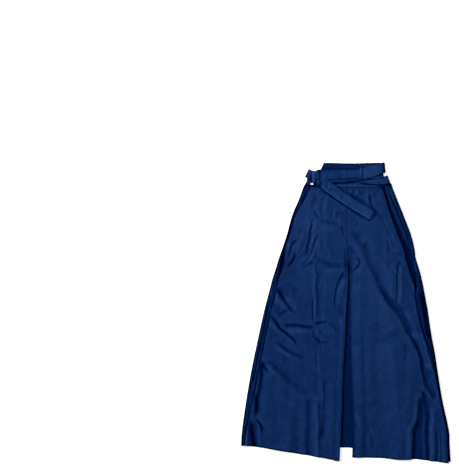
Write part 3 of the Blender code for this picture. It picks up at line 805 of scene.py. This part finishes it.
def front_panel(leg):
    """One front leg panel. The left one's inner edge is a pressed crest, turned under."""
    u, v = np.meshgrid(crowded(150), crowded(290)[::-1])
    hem = leg.hem_at(u)
    top = WAIST_Y - GAP
    y = top + (hem - top) * v
    outer, inner = leg.front_edges(y)
    if leg.side < 0:
        inner = inner - CREST_RADIUS - CLOTH
    x = outer + (inner - outer) * u
    z, shade_and_tone = front_form(leg, x, y)
    # Painted shade and painted highlight of the folds and creases, painted shadow where the ties lie on
    # it, and paler or darker patches
    tone = painted_fold_shading(z) + shade_and_tone + tie_contact_shadow(x, y)
    for at_x, at_y, wide, long, paler in TONE_PATCHES:
        tone += paler * spot(x, y, at_x, at_y, wide, long)
    # The hem's fold is pressed down, and its stitching draws in a line above it. Painted shade darkens
    # the hem's edge, the stitched line, and the outer edge, more so below the slit
    from_hem, from_outer, from_inner = y - hem, np.abs(x - outer), np.abs(x - inner)
    z -= 1.5 * hill(from_hem, 2.5)
    z -= 0.6 * hill(from_hem, 2.4, HEM_DEPTH)
    tone -= 0.95 * hill(from_hem, 4.2)
    tone -= 0.10 * hill(from_hem, 3.0, HEM_DEPTH)
    tone -= (0.30 + 0.35 * ease((SLIT_Y + 5 - y) / 30)) * hill(from_outer, 4.2)
    # Below the crotch, painted highlight along the left panel's raised inner edge, and painted shade
    # along the right panel's
    inner_edge_light_and_shade, edge_width = (0.36, 2.8) if leg.side < 0 else (-0.40, 8.0)
    tone += inner_edge_light_and_shade * ease((CROTCH_Y - y) / 30) * hill(from_inner, edge_width)
    points = np.stack([x, y, z], -1)
    if leg.side < 0:
        edge = points[:, -1:]
        turns = np.linspace(0, math.pi, 6)[1:]
        curl = [edge + CREST_RADIUS * np.array([math.sin(a), 0, math.cos(a) - 1]) for a in turns]
        under = edge + np.array([-17.0, 0, -2 * CREST_RADIUS])
        points = np.concatenate([points, *curl, under], 1)
        tone = np.concatenate([tone, np.repeat(tone[:, -1:], len(curl) + 1, axis=1)], 1)
    else:
        points, tone = points[:, ::-1], tone[:, ::-1]
    return grid_piece("front_" + leg.name, points, tone, CLOTH, front_cloth)


def back_panel(leg):
    """One back leg panel: flat on the floor, and turned over its front along the side."""
    rows, flat, curl, strip_columns = 260, 40, 9, 18
    side = leg.side
    # Each column's share of the flat part, turn round the side fold and share of the strip
    floor_part = 1 - (1 - np.linspace(0, 1, flat + 1)) ** 1.7
    fold_part = np.linspace(0, math.pi, curl + 1)[1:]
    strip_part = np.linspace(0, 1, strip_columns + 1)[1:]
    u = np.concatenate([floor_part, np.ones(curl + strip_columns)])[None]
    angle = np.concatenate([np.zeros(flat + 1), fold_part, np.full(strip_columns, math.pi)])[None]
    share = np.concatenate([np.zeros(flat + curl + 1), strip_part])[None]
    start = CENTRE_X + side * SEAM_GAP
    # Outside the band's end the panel reaches a little higher, behind the ties
    at_waist = start + (leg.at(WAIST_Y)[0] - start) * u
    top = WAIST_Y - GAP + TOP_RISE[side] * ease(side * at_waist - BAND_END[side] - 0.4)
    hem = BACK_HEM_Y + (BACK_HEM_OUTER[side] - BACK_HEM_Y) * u
    y = top + (hem - top) * np.linspace(1, 0, rows)[:, None]
    outline, strip, _, lift, _ = leg.at(y)
    edge = outline - side * strip
    turn = outline - side * EDGE_DEPTH
    x = start + (turn - start) * u + side * EDGE_DEPTH * np.sin(angle)
    x += (edge - turn) * share
    streaks, shade_and_tone = creased(STRIP_CREASES, x, y)
    over = ease(share * 4)
    z = SIDE_RADIUS * (1 - np.cos(angle)) + lift * ease(share)
    z += over * (streaks + 0.5 * noise(x, y, 8, 46, 8))
    z -= 1.6 * over * ease((y - 444) / 8)
    # Above the seam the strip ends in a turned edge, and below it dips into the seam
    z -= 1.2 * hill((1 - share) * strip, 3.0) * ease((SLIT_Y - 20 - y) / 40) * (share > 0)
    # Painted shade: darkest on the part under the front panel, dark on the strips shown beside the
    # slits, and in the folds and streaks, with painted highlight on the streaks' ridges
    hidden = np.where(angle < 0.1, 1.0, 0.0)
    shown = 1 - hidden
    beside_slit, below_slit = STRIP_SHADE[side]
    strip_shade = beside_slit + (below_slit - beside_slit) * ease((SLIT_Y + 20 - y) / 60)
    tone = 1.6 * painted_fold_shading(z) + strip_shade * shown - 0.62 * hidden + shade_and_tone
    # Painted shade along the outline, reaching farther in at the hips
    rim = OUTLINE_WIDTH + HIP_OUTLINE[side] * between(y, 220, 395, 30, 40)
    tone -= 0.85 * hill(x, rim, outline) * shown
    tone -= 0.45 * hill(x, 3.2, outline) * shown
    # In the shade of the ties
    tone -= 0.75 * hill(y, 8, 447) * shown
    tone = np.clip(tone, -0.95, 0.4)
    points = np.stack([x, y, z], -1)
    if side < 0:
        points, tone = points[:, ::-1], tone[:, ::-1]
    return grid_piece("back_" + leg.name, points, tone, CLOTH, back_cloth)


def inner_panel(leg, columns):
    """One inner leg panel, from the hem to the crotch. The right one shows between the legs."""
    v, u = np.meshgrid(np.linspace(0, 1, 120), np.linspace(0, 1, columns), indexing="ij")
    y = BACK_HEM_Y + (CROTCH_Y - BACK_HEM_Y) * v
    seam = LEFT.inner(y) - INNER_SEAM
    if leg.side < 0:
        low, high = seam - INNER_LEFT, seam - GAP
    else:
        low, high = seam, RIGHT.inner(y) + INNER_RIGHT
    x = low + (high - low) * u
    z = LAYER + 0.35 * (1 + noise(x, y, 16, 60, 12)) * between(x, low, high, 8, 8)
    points = np.stack([x, y, z], -1)
    # Painted shade and highlight of its unevenness, on cloth painted darker as shade between the legs
    return grid_piece("inner_" + leg.name, points, painted_fold_shading(z), CLOTH, inner_cloth)


# A stitch's faces between its ends at 0 and 5, its sides at 1 and 2, its top 3 and its bottom 4
STITCH_FACES = (
    (0, 2, 3), (0, 3, 1), (5, 3, 2), (5, 1, 3), (0, 1, 4), (0, 4, 2), (5, 4, 1), (5, 2, 4),
)


def stitches(name, lines, slot, length=2.8, gap=1.3, wide=0.8, rise=0.35):
    """Short threads along lines on a surface, each bent down into the cloth at both ends."""
    corners, faces = [], []
    up = np.array([0, 0, rise])
    for line in lines:
        done = np.append(0, np.cumsum(np.hypot(*np.diff(line[:, :2], axis=0).T)))
        starts = np.arange(0.5, done[-1] - length, length + gap)
        ends = [
            np.stack([np.interp(starts + k * length, done, column) for column in line.T], -1)
            for k in (0, 0.5, 1)
        ]
        for a, m, b in zip(*ends):
            along = (b - a) / np.linalg.norm(b - a)
            side = np.array([-along[1], along[0], 0]) * wide / 2
            first = len(corners)
            corners += [a - up, m + side, m - side, m + up, m - up, b - up]
            faces += [[first + k for k in face] for face in STITCH_FACES]
    mesh = bpy.data.meshes.new(name)
    mesh.from_pydata([tuple(c * MM) for c in corners], [], faces)
    return finish_piece(new_object(name, mesh), thread, slot)


def draped(piece, cloth, x, y):
    """Points on the upper side of a laid piece of that thickness."""
    at = np.array([v.co for v in piece.data.vertices]) / MM
    line = []
    for px, py in zip(x, y):
        gap = np.hypot(at[:, 0] - px, at[:, 1] - py)
        line.append((px, py, at[gap < gap.min() + 1.0, 2].max() + cloth))
    return np.array(line)


def edge_lines(piece, leg, low_y):
    """A line across a front panel above its hem, and one along its slit's edge from low_y up."""
    u = np.linspace(0.02, 0.97, 120)
    hem = leg.hem_at(u) + HEM_DEPTH
    outer, inner = leg.front_edges(hem)
    slit = np.linspace(low_y, WAIST_Y - 8, 120)
    beside = leg.front_edges(slit)[0] - leg.side * SLIT_INSET
    across = draped(piece, CLOTH, outer + (inner - outer) * u, hem)
    return [across, draped(piece, CLOTH, beside, slit)]


def tack(piece, cloth, x, y, turn, length=7.0):
    """Close threads side by side across a short bar."""
    turn = math.radians(turn)
    along = np.array([math.sin(turn), math.cos(turn)])
    over = np.array([along[1], -along[0]]) * 2.0
    middles = [np.array([x, y]) + along * length * k for k in np.linspace(-0.5, 0.5, 8)]
    return [draped(piece, cloth, *np.transpose([m - over, m + over])) for m in middles]


def make_leg_stitches(front_left, front_right, back_right):
    """Hem, slit and centre stitching on the front panels, and two bar tacks."""
    left = edge_lines(front_left, LEFT, 96)
    left += tack(front_left, CLOTH, -129.0, 426.6, -24)
    right = edge_lines(front_right, RIGHT, 76)
    y = np.linspace(150, 346, 90)
    right.append(draped(front_right, CLOTH, RIGHT.inner(y) + 4.0, y))
    stitches("front_left_stitch", left, "front_left")
    stitches("front_right_stitch", right, "front_right")
    bar = tack(back_right, 0.1, 262.5, 76.0, -14, length=9.0)
    stitches("back_right_tack", bar, "back_right", wide=1.4, rise=0.6)


def make_legs():
    """The six leg panels with their stitching."""
    front_left = front_panel(LEFT)
    front_right = front_panel(RIGHT)
    back_left = back_panel(LEFT)
    back_right = back_panel(RIGHT)
    inner_left = inner_panel(LEFT, 20)
    inner_right = inner_panel(RIGHT, 30)
    make_leg_stitches(front_left, front_right, back_right)


def band_piece(node, material, low_x, low_y, z, bulge, seed):
    """A flat band with soft rounded edges and a faint uneven surface, with painted shade along its
    edges, in its hollows and where the ties lie on it, and painted highlight on its rises.
    """
    x, y = np.meshgrid(np.linspace(low_x, BAND_RIGHT, 90), np.linspace(low_y, BAND_TOP, 24))
    from_edge = np.minimum.reduce([x - low_x, BAND_RIGHT - x, y - low_y, BAND_TOP - y])
    lifted = bulge * (1 - hill(from_edge, 3))
    height = z + lifted + 0.25 * bulge * noise(x, y, 14, 9, seed)
    tone = painted_fold_shading(height) + tie_contact_shadow(x, y) - 0.45 * hill(from_edge, 1.8)
    return grid_piece(node, np.stack([x, y, height], -1), tone, BAND_WALL, material)


def root_piece():
    """The short start of the left tie, narrower where it comes out over the band's end."""
    v, u = np.meshgrid(np.linspace(0, 1, 20), np.linspace(0, 1, 24), indexing="ij")
    y = 444.0 + 37.0 * v
    left = np.interp(y, (449, 455, 462, 472, 481), (-144.5, -141.5, -137.0, -136.0, -137.0))
    right = np.interp(y, (449, 454, 456, 481), (-125.0, -124.5, -118.0, -118.0))
    x = left + (right - left) * u
    z = 1.3 + 0.5 * np.sin(math.pi * u) + 0.3 * noise(x, y, 7, 12, 26)
    near = np.minimum.reduce([x - left, right - x, np.abs(y - 449.2)])
    # Painted shade along its edges and across it where it leaves the band, and a paler streak down its
    # middle
    tone = -0.15 - 0.6 * hill(near, 2.4) + 0.3 * hill(x, 3, -134)
    return grid_piece("tie_root_left", np.stack([x, y, z], -1), tone, ROOT_WALL, back_cloth)


def board_sag(x):
    """How far the board's upper edge dips along its length."""
    return 2.1 * hill(x, 62, 14)


def board_piece():
    """The stiff back board, with a pressed edge and long soft creases."""
    low = BAND_TOP + GAP
    v, u = np.meshgrid(np.linspace(0, 1, 56), crowded(130), indexing="ij")
    y = low + (BOARD_TOP - low) * v
    down = (BOARD_TOP - y) / (BOARD_TOP - low)
    left, right = -77 - 23 * down, 124 + 8.8 * down
    x = left + (right - left) * u
    near = np.minimum.reduce([x - left, right - x, BOARD_TOP - y])
    y -= v * board_sag(x)
    z = 0.7 - 0.7 * hill(near, 2.2) + 0.35 * noise(x, y, 30, 6, 24)
    streak = hill(y + 0.02 * x, 1.4, 516.0)
    trough = hill(y, 2.6, 504.5)
    z = np.maximum(z - 0.5 * streak - 0.5 * trough, 0.0)
    # Painted shade along the edges, in the streak below the top edge and in the trough above the tie,
    # and painted highlight on rises
    tone = painted_fold_shading(z) - 1.3 * hill(near, 3.2) - 0.22 * streak - 0.36 * trough
    # A pale crease where the board meets the tie's gathers
    tone += 0.30 * spot(x, y - 0.22 * (x - 62), 62, 509.5, 16, 1.8)
    tone -= 0.35 * ease((x - 104) / 14)
    tone += 0.26 * noise(x, y, 36, 5, 25)
    return grid_piece("back_board", np.stack([x, y, z], -1), tone, BOARD_WALL, board_cloth)


def make_waist():
    """Both bands, the left tie's start and the board, with the band's and board's stitching."""
    front = band_piece("waistband_front", strap_cloth, BAND_LEFT, WAIST_Y - 2.5, FRONT_BAND_Z, 0.5, 21)
    back = band_piece("waistband_back", back_cloth, BACK_BAND_LEFT, WAIST_Y, 0.0, 0.3, 22)
    root = root_piece()
    board = board_piece()
    x = np.linspace(-60, 131, 90)
    seam = [draped(front, BAND_WALL, x, np.full(90, WAIST_Y + up)) for up in (0.5, 4.5)]
    stitches("waistband_stitch", seam, "waistband_front", length=2.2, gap=1.4, wide=0.7)
    x = np.linspace(-72, 52, 60)
    edge = draped(board, BOARD_WALL, x, BOARD_TOP - 4.0 - board_sag(x))
    stitches("board_stitch", [edge], "back_board", **FINE)


# Ties


def resting_height(x, y, turn, width, cloth):
    """The middle of a tie that lies over the front panels, at each station."""
    highest = np.zeros_like(x)
    for across in np.linspace(-0.5, 0.5, 9):
        for ahead in (-6, 0, 6):
            px = x + width * across * np.sin(turn) + ahead * np.cos(turn)
            py = y + width * across * np.cos(turn) - ahead * np.sin(turn)
            highest = np.maximum(highest, panel_top(px, np.minimum(py, WAIST_Y)))
    return highest + GAP + cloth / 2


def tie_piece(node, stations, cloth, relief, shade_and_tone):
    """A strap along its stations, and the points of its upper side.

    relief(across, at, x, from_edge) raises it and shade_and_tone(across, at, x, y, from_edge) gives its
    tone of painted shade, painted highlight and seams, where across runs from the lower edge, at 0, to
    the upper one, and at counts the stations.
    """
    path = smooth_path(stations, PER_STATION)
    x, y, z, turn, width = path.T
    turn = np.radians(turn)
    lying = resting_height(x, y, turn, width, cloth)
    z = np.where(y > WAIST_Y, z, np.maximum(z, lying))
    z = np.convolve(np.pad(z, 2, "edge"), np.ones(5) / 5, "valid")
    x, y, z, turn, width = (values[:, None] for values in (x, y, z, turn, width))
    across = crowded(44)[None]
    at = np.linspace(0, len(stations) - 1, len(path))[:, None]
    px = x + (across - 0.5) * width * np.sin(turn)
    py = y + (across - 0.5) * width * np.cos(turn)
    from_edge = np.minimum(across, 1 - across) * width
    points = np.stack([px, py, z + relief(across, at, px, from_edge)], -1)
    tone = shade_and_tone(across, at, px, py, from_edge)
    piece = grid_piece(node, points, tone, cloth, strap_cloth, offset=0.0)
    return piece, points + np.array([0, 0, cloth / 2])


def tie_lines(points, first, last):
    """Lines along a tie from one station to another, inside its lower and its upper edge."""
    part = points[round(first * PER_STATION) : round(last * PER_STATION) + 1]
    shares = crowded(points.shape[1])
    lines = [], []
    for row in part:
        inset = TIE_INSET / np.linalg.norm(row[-1] - row[0])
        for line, at in zip(lines, (inset, 1 - inset)):
            line.append([np.interp(at, shares, column) for column in row.T])
    return [np.array(line) for line in lines]


def upper_relief(across, at, x, from_edge):
    """Rounded edges, gathers that spread from the loop, soft folds and the turned end."""
    z = -0.7 * hill(from_edge, 1.6)
    z -= 0.4 * ease((at - 14.5) / 0.5) * hill(from_edge, 1.0, 5.0)
    fan = 0.45 * between(at, 4.3, 8.1, 0.7, 0.8)
    z += fan * np.cos(math.tau * (4.6 * across + 0.08 * at + 0.3 * np.sin(0.09 * x)))
    soft = 0.7 * between(at, 8.2, 12, 0.5, 0.8)
    z += soft * np.sin(math.tau * (1.1 * across + 0.021 * x))
    # The bend is soft: its upper edge sinks on to the layer below
    bend = between(at, 12.6, 16.0, 0.6, 0.9)
    z -= bend * 1.5 * (1 - ease((1 - across) / 0.28))
    z += bend * (0.8 * hill(across, 0.12, 0.66) - 0.9 * hill(across, 0.12, 0.44))
    waves = 0.5 * between(at, 15.5, 18.4, 1.0, 0.5)
    z += waves * np.sin(math.tau * (1.2 * across + 0.9 * at))
    return z + 0.4 * ease((at - 17.44) / 0.06)


def upper_shade_and_tone(across, at, x, y, from_edge):
    """Painted shade along the edges, pale folds, and the seam across the end."""
    low, high = across < 0.5, across > 0.5
    blended = between(at, 12.4, 15.6, 0.5, 0.5) * high
    # The lower edge hardly shows between the loop and the fold
    faint = between(at, 8.4, 13.0, 0.4, 0.5) * low
    # Painted shade along both edges
    tone = -0.55 * hill(from_edge, 2.0) * (1 - 0.9 * blended) * (1 - 0.6 * faint)
    # Painted shade at the right end and along its upper edge, and where the belt loop crosses
    tone -= 0.60 * ease((x - 120) / 12) * between(at, 3.2, 8, 0.3, 0.5)
    tone -= 0.55 * ease((x - 131.5) / 2.5)
    tone -= 0.70 * hill(from_edge, 2.6) * ease((x - 104) / 16) * high
    tone -= 0.50 * hill(x, 1.6, 56.0) * between(at, 6.5, 9, 0.5, 0.5)
    # Paler right of the loop, and darker left of it
    tone += 0.17 * between(x, 60, 116, 5, 6) * between(at, 4.5, 8.2, 0.5, 0.4)
    tone -= 0.17 * between(at, 8.2, 12.4, 0.4, 0.6)
    # Painted shade at the fold's left end, and a paler patch near the middle
    tone -= 0.55 * ease((-84 - x) / 8) * between(at, 11.4, 15.5, 0.6, 0.6)
    tone += 0.22 * hill(x, 6, -8) * between(at, 8, 10.6, 0.5, 0.4)
    # A pale line along the tail's lower edge, and mottled cloth where the tail starts
    tone += 1.1 * ease((at - 14.1) / 0.5) * hill(from_edge, 1.3, 4.8) * low
    start = between(at, 12.6, 16.4, 0.5, 0.9)
    tone += start * (0.10 * hill(across, 0.14, 0.84) + 0.34 * noise(x, y, 7, 11, 61) - 0.10)
    # The seam across the end, with the turned cloth beyond it
    tone += 0.26 * hill(at, 0.06, 17.36) - 0.30 * hill(at, 0.05, 17.46)
    tone += 0.08 * ease((at - 17.5) / 0.05)
    return tone - 0.5 * hill(at, 0.07, 19)


# The groove between the lower tie's two strands: x, and y at each
STRANDS = ((-6, 14, 42, 67, 95, 126), (455.5, 458.5, 462.0, 464.0, 469.0, 473.0))


def lower_relief(across, at, x, from_edge):
    """Lengthwise wrinkles where the tie is crushed."""
    crushed = between(at, 3.6, 9.5, 0.8, 1.5)
    wave = 0.5 * (1 - np.cos(math.tau * (2.4 * across + 0.06 * np.sin(1.7 * at) + 0.05 * at)))
    return crushed * 0.9 * wave - 0.6 * hill(from_edge, 1.4)


def lower_shade_and_tone(across, at, x, y, from_edge):
    """Painted shade along the edges, in the wrinkles and in the groove between two strands, and the seam
    at the left end.
    """
    edge = hill(from_edge, 2.2)
    # Painted shade along the edges. Right of the loop a second strand comes out from under the first,
    # with painted shade in the groove between them
    strand = np.interp(x, STRANDS[0], STRANDS[1])
    tone = -0.85 * edge * (1 - between(x, 12, 58, 10, 8) * (across < 0.5))
    split = ease((x - 6) / 12) * between(at, 4.5, 9, 0.3, 0.4)
    tone += split * (0.22 * hill(y, 2.2, strand - 5) - 0.75 * hill(y, 1.7, strand))
    # Painted shade in the crushed wrinkles, under the fold and beside the keeper
    crushed = between(at, 3.6, 9.5, 0.8, 1.5)
    tone -= 0.30 * crushed * np.maximum(0, np.cos(math.tau * (2.4 * across + 0.05 * at)))
    tone -= 0.80 * hill(x, 6.5, -93) * ease((at - 10.5) / 0.5)
    tone -= 0.20 * noise(x, y, 5, 7, 51) * ease((-84 - x) / 6)
    tone += 0.15 * hill(x, 4.0, -103) - 0.60 * hill(x, 2.8, -122)
    # The left end's seam, and painted shade along its outline
    tone += 0.30 * hill(at, 0.12, 15.62) - 1.25 * hill(at, 0.14, 16)
    tone -= (0.24 + 0.60 * edge) * ease((-119 - x) / 4)
    tone -= 0.45 * hill(at, 0.16, 14.7)
    # The right end's turn, and the shade of the upper tie
    tone -= 0.45 * ease((x - 142) / 5) + 1.0 * hill(at, 0.46, 3.0)
    return tone - 0.30 * between(at, 6.4, 11.6, 0.8, 0.4)


def loop_piece(node, low, high, cloth, material):
    """A cloth loop round a tie: a thin closed band with rounded corners."""
    (x0, y0, z0), (x1, y1, z1) = low, high
    radius, columns = 2.0, 9
    middle_y, middle_z = (y0 + y1) / 2, (z0 + z1) / 2
    ring = []
    for side_y, side_z, start in ((1, 1, 0), (-1, 1, 90), (-1, -1, 180), (1, -1, 270)):
        for angle in np.radians(start + 15 * np.arange(7)):
            y = middle_y + side_y * ((y1 - y0) / 2 - radius) + radius * math.cos(angle)
            z = middle_z + side_z * ((z1 - z0) / 2 - radius) + radius * math.sin(angle)
            ring.append((y, z, 0.3 * side_y, side_z))
    shape = bmesh.new()
    rows = []
    for t in np.linspace(0, 1, columns):
        x = x0 + (x1 - x0) * t
        puff = 0.25 * math.sin(math.pi * t)
        places = [(x, y + puff * out_y, z + puff * out_z) for y, z, out_y, out_z in ring]
        rows.append([shape.verts.new(Vector(place) * MM) for place in places])
    for a, b in zip(rows[:-1], rows[1:]):
        for k in range(len(ring)):
            n = (k + 1) % len(ring)
            shape.faces.new((a[k], a[n], b[n], b[k]))
    mesh = bpy.data.meshes.new(node + "_cloth")
    bmesh.ops.recalc_face_normals(shape, faces=shape.faces)
    shape.to_mesh(mesh)
    shape.free()
    # Painted highlight along the middle and at the top turn, and painted shade at both edges
    across = [2 * abs(v.co.x / MM - (x0 + x1) / 2) / (x1 - x0) for v in mesh.vertices]
    turned = [ease((v.co.y / MM - y1 + 4.5) / 2) for v in mesh.vertices]
    tone = [0.1 + 0.45 * t - 0.7 * a**4 for a, t in zip(across, turned)]
    return cloth_piece(node, mesh, tone, cloth, -1.0, material)


def make_ties():
    """Both ties with their stitching, and the two loops that hold them."""
    upper, upper_top = tie_piece("tie_upper", UPPER_TIE, UPPER_WALL, upper_relief, upper_shade_and_tone)
    lower, lower_top = tie_piece("tie_lower", LOWER_TIE, LOWER_WALL, lower_relief, lower_shade_and_tone)
    # The tail's edges, the edges of the wrapped part, and the tail's seam and end
    lines = tie_lines(upper_top, 14.2, 18.9) + tie_lines(upper_top, 6.2, 12.6)
    lines += [upper_top[round(at * PER_STATION)][4:-4] for at in (17.36, 18.88)]
    stitches("tie_upper_stitch", lines, "tie_upper", **FINE)
    stitches("tie_lower_stitch", tie_lines(lower_top, 11.6, 15.8), "tie_lower", **FINE)
    loop_piece("belt_loop", (48.5, 469.5, 8.3), (54, 507.5, 14.2), 0.8, loop_cloth)
    low, high = (-119.8, 454.8, 4.6), (-108.0, 498.5, 10.8)
    keeper = loop_piece("end_keeper", low, high, 0.9, keeper_cloth)


# Surroundings


def make_light(name, place, size, energy):
    """A soft square light that shines on the middle of the photograph's view."""
    data = bpy.data.lights.new(name, "AREA")
    data.shape = "SQUARE"
    data.size = size
    data.energy = energy
    light = new_object(name, data)
    light.location = place
    towards = Vector((-0.1, 0.1, 0.0)) - Vector(place)
    light.rotation_euler = towards.to_track_quat("-Z", "Y").to_euler()
    light.visible_camera = False


def make_floor():
    """A pale floor, which glows a little so that it stays white."""
    mesh = bpy.data.meshes.new("floor")
    corners = ((-1, -1), (1, -1), (1, 1), (-1, 1))
    places = [(x * FLOOR_REACH, y * FLOOR_REACH, FLOOR_Z) for x, y in corners]
    mesh.from_pydata(places, [], [(0, 1, 2, 3)])
    paper = bpy.data.materials.new("floor_paper")
    paper.use_nodes = True
    shader = paper.node_tree.nodes["Principled BSDF"]
    shader.inputs["Base Color"].default_value = (0.70, 0.70, 0.70, 1)
    shader.inputs["Roughness"].default_value = 0.9
    shader.inputs["Specular IOR Level"].default_value = 0.1
    shader.inputs["Emission Color"].default_value = (1, 1, 1, 1)
    shader.inputs["Emission Strength"].default_value = 0.56
    mesh.materials.append(paper)
    new_object("floor", mesh)


def make_surroundings():
    """The floor, the lights, the world's light and the camera."""
    scene = bpy.context.scene
    make_floor()
    make_light("key", (-4.85, 2.8, 4.0), 1.7, 900)
    make_light("fill", (3.6, -2.8, 4.6), 3.0, 130)
    make_light("north", (0.8, 4.8, 4.0), 2.6, 90)
    world = bpy.data.worlds.new("studio")
    world.use_nodes = True
    background = world.node_tree.nodes["Background"]
    background.inputs["Color"].default_value = (1, 1, 1, 1)
    background.inputs["Strength"].default_value = 0.06
    scene.world = world
    scene.view_settings.view_transform = "Standard"
    data = bpy.data.cameras.new("camera")
    data.lens = LENS
    data.sensor_fit = "VERTICAL"
    data.sensor_height = SENSOR
    camera = new_object("camera", data)
    camera.location = (CAMERA_X, CAMERA_Y, CAMERA_HEIGHT)
    scene.camera = camera


make_surroundings()
make_legs()
make_waist()
make_ties()
